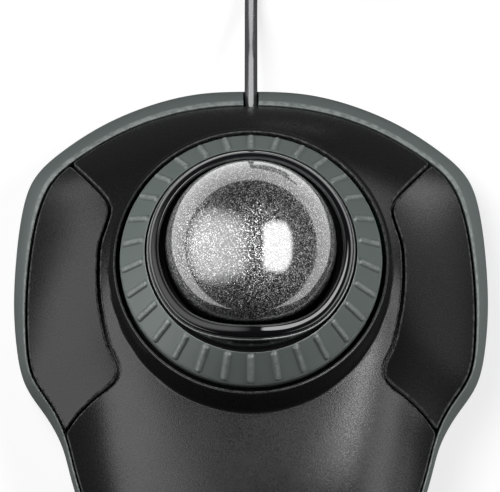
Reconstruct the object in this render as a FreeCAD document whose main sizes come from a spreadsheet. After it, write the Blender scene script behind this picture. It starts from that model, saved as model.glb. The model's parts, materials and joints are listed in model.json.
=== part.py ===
import FreeCAD, Part
import math
import os

import Sketcher
from FreeCAD import Placement, Rotation, Vector

# A wired trackball mouse, in millimetres. +Z is up, +Y points to the back, where the
# cable leaves, and the user sits on the -Y side. The origin is on the desk, below the
# middle of the body's footprint. Directions round the ball are counted clockwise from
# the back, seen from above.

doc = FreeCAD.newDocument("TrackballMouse")

# ---------------------------------------------------------------- driving dimensions

DIMENSIONS = [
    # ball and its seat
    ("ball_radius", 20.0, "40 mm ball"),
    ("core_radius", 17.0, "ball core under the glossy coat"),
    ("core_play", 0.05, "running clearance between core and coat"),
    ("ball_y", 17.0, "axis of ball and scroll ring, from the origin"),
    ("ball_z", 37.0, "height of the ball's centre"),
    ("cup_play", 0.7, "air between ball and cup"),
    ("cup_bottom", 14.3, "underside of the cup"),
    ("cup_top", 33.0, "top of the bearing sleeve"),
    ("sleeve_radius", 24.0, "bearing sleeve the scroll ring turns on"),
    ("flange_radius", 31.0, "cup flange"),
    ("flange_bottom", 19.0, "underside of the cup flange"),
    ("flange_top", 20.8, "top of the cup flange"),
    ("leg_circle", 28.0, "circle of the three cup legs"),
    ("leg_radius", 3.5, "cup leg"),
    ("leg_bottom", 10.0, "foot of the cup legs"),
    ("window_radius", 5.0, "sensor window in the cup"),
    ("bearing_radius", 1.25, "ceramic support ball"),
    ("bearing_tilt", 52.0, "support ball, degrees from straight down"),
    # gloss bezel round the ball
    ("bezel_radius", 24.35, "outer wall"),
    ("bezel_edge", 35.0, "top of the outer wall"),
    ("bezel_crest_radius", 22.9, "crest circle"),
    ("bezel_crest", 37.9, "height of the crest"),
    ("bezel_inner_radius", 21.4, "inner edge"),
    ("bezel_inner", 37.3, "height of the inner edge"),
    ("bezel_foot", 33.05, "seat on the cup"),
    ("bezel_rise", 3.8, "rise of the front lip"),
    ("bezel_lean", 1.2, "how far the front lip leans over the ball"),
    ("bezel_lip_half_angle", 52.0, "half width of the front lip, degrees"),
    # scroll ring
    ("ring_inner_radius", 24.8, "top inner edge"),
    ("ring_radius", 31.0, "outer wall"),
    ("ring_top", 34.4, "top edge"),
    ("ring_shoulder", 27.6, "lower end of the sloping face"),
    ("ring_bottom", 24.8, "lower edge of the outer wall"),
    ("rib_count", 30, "raised ribs"),
    ("rib_length", 8.3, "rib, end to end"),
    ("rib_radius", 0.85, "half width of a rib"),
    ("rib_sink", 0.32, "depth of a rib's axis below the face"),
    ("ring_play", 0.06, "running clearance on the sleeve"),
    ("tooth_count", 45, "encoder slots in the carrier skirt"),
    # shell
    ("body_half_length", 66.7, "half the length of the body"),
    ("case_bottom", 1.2, "underside of the base"),
    ("floor_top", 3.2, "inside of the base's floor"),
    ("ledge_top", 9.6, "ledge the cover stands on"),
    ("seam_height", 14.0, "seam between cover and base rim"),
    ("seam_gap", 0.4, "gap between cover and base rim"),
    ("wall", 2.2, "wall of cover and base"),
    ("opening_radius", 32.05, "opening for the scroll ring"),
    ("opening_height", 26.4, "lip of the opening"),
    ("front_drop", 6.4, "how far the shell falls below the lip in front"),
    ("lip_width", 0.95, "flat lip round the opening"),
    ("collar_foot", 18.6, "lower end of the collar wall"),
    ("button_thickness", 2.0, "button panel, measured upright"),
    ("well_depth", 3.4, "button well below the surface"),
    ("well_floor", 2.0, "floor of the button well"),
    ("button_gap", 0.8, "gap round a button"),
    # buttons and switches
    ("pivot_x", 41.0, "middle of the button's lug"),
    ("pivot_y", -11.0, "button hinge axis"),
    ("pivot_z", 11.2, "button hinge axis"),
    ("pin_radius", 1.0, "hinge pin"),
    ("pin_play", 0.05, "running clearance of a lug on its pin"),
    ("switch_y", 14.0, "switch and stem"),
    ("switch_length", 12.8, "switch body along Y"),
    ("switch_width", 5.8, "switch body along X"),
    ("switch_height", 6.5, "switch body"),
    ("plunger_rise", 0.6, "plunger above the switch body"),
    ("stem_side", 3.0, "square stem under a button"),
    # electronics
    ("board_bottom", 6.4, "underside of the circuit board"),
    ("board_thickness", 1.6, "circuit board"),
    # fasteners and feet
    ("screw_radius", 1.1, "case and cup screw shank"),
    ("screw_head_radius", 2.4, "case and cup screw head"),
    ("screw_head_height", 1.6, "case and cup screw head"),
    ("case_screw_back_x", 27.0, "back case screws"),
    ("case_screw_back_y", 46.0, "back case screws"),
    ("case_screw_front_x", 24.0, "front case screws"),
    ("case_screw_front_y", -42.0, "front case screws"),
    ("boss_radius", 3.2, "screw boss"),
    ("foot_radius", 6.0, "rubber foot"),
    ("foot_thickness", 1.6, "rubber foot"),
    # cable
    ("cable_radius", 1.6, "cable"),
    ("cable_z", 10.0, "cable where it leaves the rim"),
    ("notch_radius", 1.9, "cable notch in the rim"),
    ("grommet_front", 51.5, "inner end of the grommet"),
    ("grommet_back", 57.8, "outer end of the grommet"),
    ("coil_radius", 18.0, "middle of the coil's turns"),
    ("coil_x", 22.9, "centre of the coil"),
    ("coil_y", 122.5, "centre of the coil"),
    ("coil_side", 13.2, "section of the wound coil"),
    ("coil_turn", 22.9, "outermost turn, where the cable enters and leaves the coil"),
    ("plug_x", 41.0, "rear end of the plug's relief"),
    ("plug_z", 4.0, "middle of the plug"),
]

sheet = doc.addObject("Spreadsheet::Sheet", "Dims")
for row, (alias, value, note) in enumerate(DIMENSIONS, start=1):
    sheet.set(f"A{row}", alias)
    sheet.set(f"B{row}", str(value))
    sheet.set(f"C{row}", note)
    sheet.setAlias(f"B{row}", alias)
doc.recompute()


def dim(alias):
    """A driving dimension, read back from the sheet."""
    return float(sheet.get(alias))


# ---------------------------------------------------------------- building blocks


def bind(obj, expressions):
    """Tie properties of an object to sheet expressions."""
    for prop, expression in expressions.items():
        obj.setExpression(prop, expression)
    return obj


def place(obj, x="0", y="0", z="0"):
    return bind(
        obj,
        {"Placement.Base.x": x, "Placement.Base.y": y, "Placement.Base.z": z},
    )


def block(name, length, width, height, x="0", y="0", z="0"):
    """A box centred on x and y, standing on z."""
    box = doc.addObject("Part::Box", name)
    bind(box, {"Length": length, "Width": width, "Height": height})
    return place(box, f"{x} - ({length}) / 2", f"{y} - ({width}) / 2", z)


def rod(name, radius, height, x="0", y="0", z="0"):
    """An upright cylinder standing on z."""
    cylinder = doc.addObject("Part::Cylinder", name)
    bind(cylinder, {"Radius": radius, "Height": height})
    return place(cylinder, x, y, z)


def rod_along(name, axis, radius, height, x="0", y="0", z="0"):
    """A lying cylinder that starts at x, y, z and runs along +X or +Y."""
    cylinder = rod(name, radius, height, x, y, z)
    turn = Rotation(Vector(0, 1, 0), 90) if axis == "x" else Rotation(Vector(1, 0, 0), -90)
    cylinder.Placement = Placement(Vector(0, 0, 0), turn)
    return place(cylinder, x, y, z)


def ball(name, radius, x="0", y="0", z="0"):
    sphere = doc.addObject("Part::Sphere", name)
    bind(sphere, {"Radius": radius})
    return place(sphere, x, y, z)


def cut(name, base, tool):
    result = doc.addObject("Part::Cut", name)
    result.Base = base
    result.Tool = tool
    return result


def fuse(name, shapes):
    result = doc.addObject("Part::MultiFuse", name)
    result.Shapes = shapes
    return result


def group(name, members):
    """Identical pieces that share one node, as separate solids."""
    result = doc.addObject("Part::Compound", name)
    result.Links = members
    return result


def new_body(label):
    return doc.addObject("PartDesign::Body", label)


def origin_feature(body, role):
    return next(f for f in body.Origin.OriginFeatures if f.Role == role)


def new_sketch(body, role, height="0"):
    """A sketch on one of the body's own origin planes, lifted by height."""
    sketch = body.newObject("Sketcher::SketchObject", f"{body.Name}Sketch")
    sketch.AttachmentSupport = [(origin_feature(body, role), "")]
    sketch.MapMode = "FlatFace"
    sketch.setExpression("AttachmentOffset.Base.z", height)
    return sketch


def pin_point(sketch, edge, end, x, y):
    """Tie one end of an edge to two sheet expressions."""
    for kind, expression in (("DistanceX", x), ("DistanceY", y)):
        index = sketch.addConstraint(Sketcher.Constraint(kind, -1, 1, edge, end, 1.0))
        sketch.setExpression(f"Constraints[{index}]", expression)


def polygon(sketch, corners):
    """A closed polygon whose corners are pairs of sheet expressions."""
    count = len(corners)
    start = [
        Vector(40 + 9 * math.cos(math.tau * i / count), 30 + 9 * math.sin(math.tau * i / count), 0)
        for i in range(count)
    ]
    for i in range(count):
        sketch.addGeometry(Part.LineSegment(start[i], start[(i + 1) % count]), False)
    for i in range(count):
        sketch.addConstraint(Sketcher.Constraint("Coincident", i, 2, (i + 1) % count, 1))
    for i, (x, y) in enumerate(corners):
        pin_point(sketch, i, 1, x, y)


def circle(sketch, radius, x="0", y="0"):
    edge = sketch.addGeometry(Part.Circle(Vector(1, 1, 0), Vector(0, 0, 1), 2.0), False)
    index = sketch.addConstraint(Sketcher.Constraint("Radius", edge, 2.0))
    sketch.setExpression(f"Constraints[{index}]", radius)
    pin_point(sketch, edge, 3, x, y)


def pad(body, sketch, length):
    feature = body.newObject("PartDesign::Pad", f"{body.Name}Pad")
    feature.Profile = sketch
    feature.setExpression("Length", length)
    return feature


def pocket_up(body, sketch, length):
    """A pocket that runs from the sketch towards +Z."""
    feature = body.newObject("PartDesign::Pocket", f"{body.Name}Pocket")
    feature.Profile = sketch
    feature.Reversed = True
    feature.setExpression("Length", length)
    return feature


def revolve(body, sketch, axis=None, angle=360.0):
    """The sketch turned about the axis, half the angle to each side of its plane."""
    feature = body.newObject("PartDesign::Revolution", f"{body.Name}Revolution")
    feature.Profile = sketch
    feature.ReferenceAxis = axis or (origin_feature(body, "Z_Axis"), [""])
    feature.Midplane = True
    feature.Angle = angle
    return feature


def polar_pattern(body, feature, count):
    pattern = body.newObject("PartDesign::PolarPattern", f"{body.Name}Pattern")
    pattern.Originals = [feature]
    pattern.Axis = (origin_feature(body, "Z_Axis"), [""])
    pattern.Angle = 360.0
    pattern.setExpression("Occurrences", count)
    body.Tip = pattern
    return pattern


def turned(label, corners):
    """A body turned round its own Z axis from a polygon of (radius, height)."""
    body = new_body(label)
    sketch = new_sketch(body, "XZ_Plane")
    polygon(sketch, corners)
    revolve(body, sketch)
    return body


def freeform(name, shape):
    """A feature whose shape is made with Part's own functions."""
    feature = doc.addObject("Part::Feature", name)
    feature.Shape = shape
    feature.Placement = Placement()
    return feature


# ---------------------------------------------------------------- outlines and top surface

# Right half of the base's outline and of the seam round the cover, from the middle of
# the back to the middle of the front. The two lists match point for point.
HALF_LENGTH = dim("body_half_length")
BASE_HALF = [
    (0.0, HALF_LENGTH), (12.0, 66.2), (22.5, 63.9), (35.2, 58.6), (46.9, 50.7), (53.9, 42.9),
    (56.3, 34.1), (57.4, 22.0), (57.5, 10.0), (56.5, 0.0), (54.3, -8.3), (49.3, -15.8),
    (45.6, -22.4), (43.2, -30.0), (39.6, -42.0), (34.6, -54.5), (22.5, -64.0), (0.0, -HALF_LENGTH),
]
SEAM_HALF = [
    (0.0, 60.6), (10.5, 60.0), (20.0, 58.1), (30.9, 53.9), (41.5, 47.4), (48.4, 40.9),
    (51.5, 33.5), (53.4, 22.0), (54.0, 10.0), (53.6, 0.3), (52.0, -8.0), (47.3, -15.5),
    (44.1, -21.8), (41.7, -30.0), (38.0, -42.0), (32.6, -54.0), (21.0, -62.0), (0.0, -64.2),
]
# Inner edge of the right button, from beyond the back of the rim to beyond its front tip.
BUTTON_EDGE = [
    (48.5, 51.4), (43.4, 44.6), (38.9, 38.7), (35.0, 33.5), (33.7, 30.2), (34.4, 26.6),
    (35.9, 21.4), (36.2, 15.6), (36.0, 10.1), (35.2, 4.6), (33.6, -2.1), (31.4, -7.0),
    (31.3, -9.7), (33.0, -12.1), (36.7, -14.7), (41.2, -18.6), (46.0, -24.5),
]
OUTSIDE_X = 70.0
BALL_Y = dim("ball_y")
RIM_START = dim("opening_radius") + dim("lip_width")


def direction_of(x, y):
    return math.atan2(x, y - BALL_Y)


def reach_of(x, y):
    return math.hypot(x, y - BALL_Y)


def at(direction, radius, height):
    return Vector(radius * math.sin(direction), BALL_Y + radius * math.cos(direction), height)


def whole(half):
    """The full outline of a symmetric body from its right half."""
    return half + [(-x, y) for x, y in reversed(half[1:-1])]


def shifted(points, distance):
    """Points moved by distance away from the ball's axis."""
    moved = [at(direction_of(x, y), reach_of(x, y) + distance, 0.0) for x, y in points]
    return [(p.x, p.y) for p in moved]


def loop(points):
    """A smooth closed wire through points, with the same spacing whatever its size."""
    curve = Part.BSplineCurve()
    steps = [0.0]
    for a, b in zip(SPACING, SPACING[1:] + SPACING[:1]):
        steps.append(steps[-1] + math.dist(a, b))
    curve.interpolate(Points=points, PeriodicFlag=True, Parameters=steps)
    return Part.Wire([curve.toShape()])


SPACING = whole(SEAM_HALF)


def flat_loop(points, height):
    return loop([Vector(x, y, height) for x, y in points])


def prism(points, bottom, top):
    face = Part.Face(flat_loop(points, bottom))
    return face.extrude(Vector(0, 0, top - bottom))


def front_share(direction):
    """0 at the sides and back, growing smoothly to 1 straight in front."""
    forward = -math.cos(direction)
    return 0.5 * (forward + math.sqrt(forward**2 + 0.02))


def surface_height(direction, share):
    """Height of the shell, from the lip of the opening (0) to the seam (1)."""
    front = front_share(direction)
    start = dim("opening_height") - 0.3 - dim("front_drop") * front
    slope = 0.6 - 0.5 * front
    fall = slope * share + (1 - slope) * max(share, 0.0) ** (2 + front)
    return dim("seam_height") + (start - dim("seam_height")) * (1 - fall)


def below_surface(depth=0.0):
    """Everything within reach that lies lower than the shell's top surface, less depth."""
    wires = []
    for share in (-0.06, 0.0, 0.15, 0.35, 0.55, 0.75, 0.9, 1.0, 1.12):
        points = []
        for x, y in SPACING:
            direction = direction_of(x, y)
            reach = RIM_START + (reach_of(x, y) - RIM_START) * share
            if share < 0:
                reach = RIM_START - 3.0
            points.append(at(direction, reach, surface_height(direction, share) - depth))
        wires.append(loop(points))
    surface = Part.makeLoft(wires, False, False)
    return surface.extrude(Vector(0, 0, -60)).Solids[0]


# ---------------------------------------------------------------- shells


def button_region(side, gap):
    """A tall block over one button, its inner edge moved outwards by gap."""
    edge = []
    for i, (x, y) in enumerate(BUTTON_EDGE):
        before = BUTTON_EDGE[max(i - 1, 0)]
        after = BUTTON_EDGE[min(i + 1, len(BUTTON_EDGE) - 1)]
        run = Vector(after[0] - before[0], after[1] - before[1], 0).normalize()
        edge.append(Vector(side * (x + gap * run.y), y - gap * run.x, 0.0))
    curve = Part.BSplineCurve()
    curve.interpolate(edge)
    far = [Vector(side * OUTSIDE_X, edge[-1].y, 0), Vector(side * OUTSIDE_X, edge[0].y, 0)]
    sides = Part.makePolygon([edge[-1]] + far + [edge[0]])
    outline = Part.Wire([curve.toShape()] + sides.Edges)
    return Part.Face(outline).extrude(Vector(0, 0, 60))


def collar_wall():
    """The thin conical wall that carries the lip of the scroll ring's opening."""
    top = dim("opening_height")
    foot = dim("collar_foot")
    spread = (top - foot) * 0.5
    inner = dim("opening_radius")
    corners = [
        (inner, top), (RIM_START - 0.15, top), (RIM_START, top - 0.2),
        (RIM_START + spread, foot), (RIM_START + spread - 2.6, foot), (inner, top - 3.0),
    ]
    points = [Vector(r, BALL_Y, z) for r, z in corners]
    face = Part.Face(Part.makePolygon(points + points[:1]))
    return face.revolve(Vector(0, BALL_Y, 0), Vector(0, 0, 1), 360)


def upright(radius, bottom, top, x, y):
    return Part.makeCylinder(radius, top - bottom, Vector(x, y, bottom))


def crate(x_range, y_range, z_range):
    size = [b - a for a, b in (x_range, y_range, z_range)]
    return Part.makeBox(*size, Vector(x_range[0], y_range[0], z_range[0]))


CASE_SCREWS = [
    (side * dim(f"case_screw_{end}_x"), dim(f"case_screw_{end}_y"))
    for end in ("back", "front")
    for side in (-1, 1)
]
CUP_SCREWS = [
    (dim("leg_circle") * math.sin(math.radians(a)), BALL_Y + dim("leg_circle") * math.cos(math.radians(a)))
    for a in (60, 180, 300)
]
BOARD_SCREWS = [(36.0, 26.0), (-36.0, 26.0), (22.0, -15.0), (-22.0, -15.0)]
FEET = [(-43.0, 27.0), (43.0, 27.0), (-20.0, -54.0), (20.0, -54.0)]
SCREW_PLAY = 0.02
LUG_WIDTH = 3.0
LUG_RADIUS = 2.4
HANGER_WIDTH = 2.0


def cover_shape(surface):
    seam_play = dim("seam_gap") / 2
    wall = dim("wall")
    rim = prism(shifted(SPACING, -seam_play), dim("ledge_top") + 0.1, 40)
    inside = prism(shifted(SPACING, -wall - seam_play), 0, 40)
    outer = surface.common(rim)
    cavity = surface.translated(Vector(0, 0, -wall)).common(inside)
    shell = outer.cut(cavity).fuse(collar_wall())
    well_depth = dim("well_depth")
    deep = surface.translated(Vector(0, 0, -well_depth - dim("well_floor"))).common(inside)
    above_floor = surface.translated(Vector(0, 0, -well_depth))
    for side in (-1, 1):
        thick = outer.common(button_region(side, 2.2)).cut(deep)
        shell = shell.fuse(thick)
    for side in (-1, 1):
        well = button_region(side, dim("button_gap") / 2).cut(above_floor)
        shell = shell.cut(well.common(crate((-70, 70), (-70, 70), (9, 40))))
    for side in (-1, 1):
        shell = shell.fuse(hinge_hangers(side).common(surface.translated(Vector(0, 0, -well_depth - 0.5))))
        shell = shell.cut(lug_window(side))
        shell = shell.cut(stem_window(side))
        pin = Part.makeCylinder(dim("pin_radius"), 20, hinge_start(side, 10), Vector(side, 0, 0))
        shell = shell.cut(pin)
    for x, y in CASE_SCREWS:
        boss = upright(dim("boss_radius"), dim("floor_top") + 2.0, 30, x, y)
        shell = shell.fuse(boss.common(surface.translated(Vector(0, 0, -0.8))))
        shell = shell.cut(upright(dim("screw_radius") + SCREW_PLAY, 0, 13, x, y))
    shell = shell.cut(upright(dim("opening_radius"), 0, 40, 0, BALL_Y))
    notch = Part.makeCylinder(dim("notch_radius") + 0.2, 12, Vector(0, 55, dim("cable_z")), Vector(0, 1, 0))
    half = dim("notch_radius") + 0.2
    notch = notch.fuse(crate((-half, half), (55, 67), (dim("cable_z") - 3, dim("cable_z"))))
    return shell.cut(notch).Solids[0]


def hinge_start(side, reach):
    """A point on a button's hinge axis, reach inwards from the middle of its lug."""
    return Vector(side * (dim("pivot_x") - reach), dim("pivot_y"), dim("pivot_z"))


def across(side, inner, outer):
    """An X range that lies inner to outer from the middle plane, on one side."""
    return (inner, outer) if side > 0 else (-outer, -inner)


def hinge_hangers(side):
    """Two lugs under the button well that hold the ends of the hinge pin."""
    y, z = dim("pivot_y"), dim("pivot_z")
    gap = LUG_WIDTH / 2 + 0.4
    lugs = []
    for middle in (-gap - HANGER_WIDTH / 2, gap + HANGER_WIDTH / 2):
        x = dim("pivot_x") + middle
        reach = across(side, x - HANGER_WIDTH / 2, x + HANGER_WIDTH / 2)
        lugs.append(crate(reach, (y - LUG_RADIUS, y + LUG_RADIUS), (z - LUG_RADIUS + 0.4, z + 9)))
    return lugs[0].fuse(lugs[1])


def lug_window(side):
    half = LUG_WIDTH / 2 + 0.4
    x, y = dim("pivot_x"), dim("pivot_y")
    window = LUG_RADIUS + 0.5
    return crate(across(side, x - half, x + half), (y - window, y + window), (8, 30))


def stem_window(side):
    half = dim("stem_side") / 2 + 0.6
    x, y = dim("pivot_x"), dim("switch_y")
    return crate(across(side, x - half, x + half), (y - half, y + half), (8, 30))


def button_shape(surface, side):
    panel = surface.cut(surface.translated(Vector(0, 0, -dim("button_thickness"))))
    panel = panel.common(button_region(side, -dim("button_gap") / 2))
    panel = panel.common(prism(shifted(SPACING, -dim("seam_gap") / 2 - 0.15), 0, 40))
    x, y, z = dim("pivot_x"), dim("pivot_y"), dim("pivot_z")
    lug_range = across(side, x - LUG_WIDTH / 2, x + LUG_WIDTH / 2)
    lug = Part.makeCylinder(LUG_RADIUS, LUG_WIDTH, Vector(lug_range[0], y, z), Vector(1, 0, 0))
    web = crate(lug_range, (y - LUG_RADIUS, y + LUG_RADIUS), (z, 30))
    post = dim("board_bottom") + dim("board_thickness") + dim("switch_height") + dim("plunger_rise")
    half = dim("stem_side") / 2
    stem_y = dim("switch_y")
    stem = crate(across(side, x - half, x + half), (stem_y - half, stem_y + half), (post + 0.05, 30))
    under = surface.translated(Vector(0, 0, -dim("button_thickness") / 2))
    button = panel.fuse([lug, web.common(under), stem.common(under)])
    bore = Part.makeCylinder(
        dim("pin_radius") + dim("pin_play"), 20, hinge_start(side, 10), Vector(side, 0, 0)
    )
    return button.cut(bore).Solids[0]


def base_shape():
    """The lower case: a tray whose outside shoulder is the visible rim."""
    outside = whole(BASE_HALF)
    shoulder = [
        (a[0] + (b[0] - a[0]) * 0.42, a[1] + (b[1] - a[1]) * 0.42) for a, b in zip(outside, SPACING)
    ]
    wires = [
        flat_loop(shifted(outside, -2.2), dim("case_bottom")),
        flat_loop(shifted(outside, -0.5), dim("case_bottom") + 2.2),
        flat_loop(outside, 7.6),
        flat_loop(shoulder, 11.6),
        flat_loop(shifted(SPACING, 0.5), dim("seam_height")),
    ]
    tray = Part.makeLoft(wires, True, False)
    tray = tray.cut(prism(shifted(SPACING, -dim("wall")), dim("floor_top"), 40))
    tray = tray.cut(prism(shifted(SPACING, dim("seam_gap") / 2), dim("ledge_top"), 40))
    bottom, floor = dim("case_bottom"), dim("floor_top")
    shank = dim("screw_radius") + SCREW_PLAY
    for x, y in CASE_SCREWS:
        tray = tray.fuse(upright(4.0, bottom, floor + 2.0, x, y))
        tray = tray.cut(upright(dim("screw_head_radius") + 0.3, 0, floor, x, y))
        tray = tray.cut(upright(shank, 0, floor + 3, x, y))
    for x, y in CUP_SCREWS:
        tray = tray.fuse(upright(dim("leg_radius"), bottom, dim("leg_bottom"), x, y))
        tray = tray.cut(upright(dim("screw_head_radius") + 0.3, 0, floor, x, y))
        tray = tray.cut(upright(shank, 0, dim("leg_bottom"), x, y))
    for x, y in BOARD_SCREWS:
        tray = tray.fuse(upright(3.0, bottom, dim("board_bottom"), x, y))
        tray = tray.cut(upright(0.9 + SCREW_PLAY, floor, dim("board_bottom"), x, y))
    for x, y in FEET:
        tray = tray.cut(upright(dim("foot_radius") + 0.1, 0, bottom + 0.4, x, y))
    tray = tray.cut(crate((-22, 22), (2, 22), (0, bottom + 0.4)))
    saddle = crate((-5.5, 5.5), (dim("grommet_front") + 1.3, dim("grommet_back") - 1.3), (bottom, dim("cable_z")))
    tray = tray.fuse(saddle)
    seat = Part.makeCylinder(2.4, 8, Vector(0, dim("grommet_front"), dim("cable_z")), Vector(0, 1, 0))
    tray = tray.cut(seat)
    radius = dim("notch_radius")
    notch = Part.makeCylinder(radius, 14, Vector(0, dim("grommet_back"), dim("cable_z")), Vector(0, 1, 0))
    notch = notch.fuse(crate((-radius, radius), (dim("grommet_back"), 72), (dim("cable_z"), 20)))
    return tray.cut(notch).Solids[0]


top_surface = below_surface()
freeform("base_shell", base_shape())
freeform("top_cover", cover_shape(top_surface))
freeform("left_button", button_shape(top_surface, -1))
freeform("right_button", button_shape(top_surface, 1))

# ---------------------------------------------------------------- button hinges and switches

for side, word in ((-1, "left"), (1, "right")):
    pin_length = LUG_WIDTH + 0.8 + 2 * HANGER_WIDTH
    pin_start = f"{side} * Dims.pivot_x - {pin_length / 2}"
    pin = rod_along(
        f"{word}_hinge_pin", "x", f"Dims.pin_radius - {SCREW_PLAY}", f"{pin_length}",
        pin_start, "Dims.pivot_y", "Dims.pivot_z",
    )
    switch_x = f"{side} * Dims.pivot_x"
    board_top = "Dims.board_bottom + Dims.board_thickness"
    case = block(
        f"{word}_switch_case", "Dims.switch_width", "Dims.switch_length", "Dims.switch_height",
        switch_x, "Dims.switch_y", board_top,
    )
    well = block(
        f"{word}_switch_well", "1.6", "3.4", "2.0",
        switch_x, "Dims.switch_y", f"{board_top} + Dims.switch_height - 1.2",
    )
    cut(f"{word}_switch", case, well)
    block(
        f"{word}_switch_plunger", "1.3", "3.0", "Dims.plunger_rise + 0.6",
        switch_x, "Dims.switch_y", f"{board_top} + Dims.switch_height - 0.6",
    )

# ---------------------------------------------------------------- scroll ring

ring = turned("scroll_ring", [
    ("Dims.ring_inner_radius", "Dims.ring_top"),
    ("Dims.ring_radius - 0.5", "Dims.ring_shoulder + 0.65"),
    ("Dims.ring_radius", "Dims.ring_shoulder"),
    ("Dims.ring_radius", "Dims.ring_bottom + 0.5"),
    ("Dims.ring_radius - 0.5", "Dims.ring_bottom"),
    ("Dims.ring_radius - 1.6", "Dims.ring_bottom"),
    ("Dims.ring_radius - 1.6", "Dims.ring_bottom + 2.4"),
    ("Dims.ring_inner_radius + 0.7", "Dims.ring_top - 3"),
    ("Dims.ring_inner_radius", "Dims.ring_top - 3"),
])
place(ring, y="Dims.ball_y")


def add_ribs(body):
    """Rounded ribs across the sloping face: half a capsule, then repeated round the ring."""
    rise = dim("ring_top") - dim("ring_shoulder")
    run = dim("ring_radius") - dim("ring_inner_radius")
    slope = math.atan2(rise, run)
    middle = Vector(
        (dim("ring_radius") + dim("ring_inner_radius")) / 2, (dim("ring_top") + dim("ring_shoulder")) / 2, 0
    )
    along = Vector(math.cos(slope), -math.sin(slope), 0)
    outward = Vector(math.sin(slope), math.cos(slope), 0)
    axis_middle = middle - outward * dim("rib_sink")
    half = dim("rib_length") / 2 - dim("rib_radius")
    ends = [axis_middle - along * half, axis_middle + along * half]
    tips = [ends[0] - along * dim("rib_radius"), ends[1] + along * dim("rib_radius")]
    top = [end + outward * dim("rib_radius") for end in ends]
    turn = math.pi / 4
    bow = [
        ends[0] + (-along * math.sin(turn) + outward * math.cos(turn)) * dim("rib_radius"),
        ends[1] + (along * math.sin(turn) + outward * math.cos(turn)) * dim("rib_radius"),
    ]
    sketch = new_sketch(body, "XZ_Plane")
    sketch.addGeometry(Part.LineSegment(tips[1], tips[0]), False)
    sketch.addGeometry(Part.Arc(tips[0], bow[0], top[0]), False)
    sketch.addGeometry(Part.LineSegment(top[0], top[1]), False)
    sketch.addGeometry(Part.Arc(top[1], bow[1], tips[1]), False)
    doc.recompute()
    rib = revolve(body, sketch, (sketch, ["Edge1"]), 180.0)
    polar_pattern(body, rib, "Dims.rib_count")


add_ribs(ring)

carrier = turned("ring_carrier", [
    ("Dims.sleeve_radius + Dims.ring_play", "Dims.flange_top + 0.4"),
    ("25.4", "Dims.flange_top + 0.4"),
    ("25.4", "26"),
    ("27.4", "26"),
    ("27.4", "21.6"),
    ("28.6", "21.6"),
    ("28.6", "27.9"),
    ("25.5", "31.25"),
    ("24.7", "31.25"),
    ("24.7", "Dims.cup_top - 0.1"),
    ("Dims.sleeve_radius + Dims.ring_play", "Dims.cup_top - 0.1"),
])
doc.recompute()
slot = new_sketch(carrier, "XY_Plane", "21.5")
polygon(slot, [("27", "-0.7"), ("29", "-0.7"), ("29", "0.7"), ("27", "0.7")])
slot_pocket = pocket_up(carrier, slot, "3.0")
polar_pattern(carrier, slot_pocket, "Dims.tooth_count")
place(carrier, y="Dims.ball_y")

# ---------------------------------------------------------------- cup, bezel and ball

cup_blank = turned("cup_blank", [
    ("0", "Dims.cup_bottom"),
    ("10", "Dims.cup_bottom"),
    ("17", "Dims.flange_bottom"),
    ("Dims.flange_radius", "Dims.flange_bottom"),
    ("Dims.flange_radius", "Dims.flange_top"),
    ("Dims.sleeve_radius", "Dims.flange_top"),
    ("Dims.sleeve_radius", "Dims.cup_top"),
    ("0", "Dims.cup_top"),
])
place(cup_blank, y="Dims.ball_y")
cup_legs = []
cup_cuts = [
    ball("cup_hollow", "Dims.ball_radius + Dims.cup_play", y="Dims.ball_y", z="Dims.ball_z"),
    rod("cup_window", "Dims.window_radius", "12", y="Dims.ball_y", z="Dims.cup_bottom - 2"),
    rod("sensor_gate", "5.0", "4", "24.4", "2.9", "Dims.flange_bottom - 1"),
]
for index, (x, y) in enumerate(CUP_SCREWS):
    cup_legs.append(
        rod(f"cup_leg_{index}", "Dims.leg_radius", "Dims.flange_top - Dims.leg_bottom",
            f"{x}", f"{y}", "Dims.leg_bottom")
    )
    cup_cuts.append(
        rod(f"cup_leg_hole_{index}", f"Dims.screw_radius + {SCREW_PLAY}", "9", f"{x}", f"{y}", "Dims.leg_bottom - 1")
    )
support_balls = []
BEARING_DIRECTIONS = (0, 120, 240)
for index, direction in enumerate(BEARING_DIRECTIONS):
    reach = dim("ball_radius") + dim("bearing_radius") + 0.03
    tilt = math.radians(dim("bearing_tilt"))
    spot = at(math.radians(direction), reach * math.sin(tilt), dim("ball_z") - reach * math.cos(tilt))
    position = (f"{spot.x}", f"{spot.y}", f"{spot.z}")
    support_balls.append(ball(f"support_ball_{index}", "Dims.bearing_radius", *position))
    cup_cuts.append(ball(f"support_seat_{index}", "Dims.bearing_radius + 0.04", *position))
cut("ball_cup", fuse("cup_with_legs", [cup_blank] + cup_legs), fuse("cup_openings", cup_cuts))
group("support_balls", support_balls)


def lip(direction):
    """1 at the middle of the bezel's front lip, 0 outside it."""
    off = abs(math.degrees(direction) - 180)
    if off > dim("bezel_lip_half_angle"):
        return 0.0
    return 0.5 * (1 + math.cos(math.pi * off / dim("bezel_lip_half_angle")))


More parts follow.
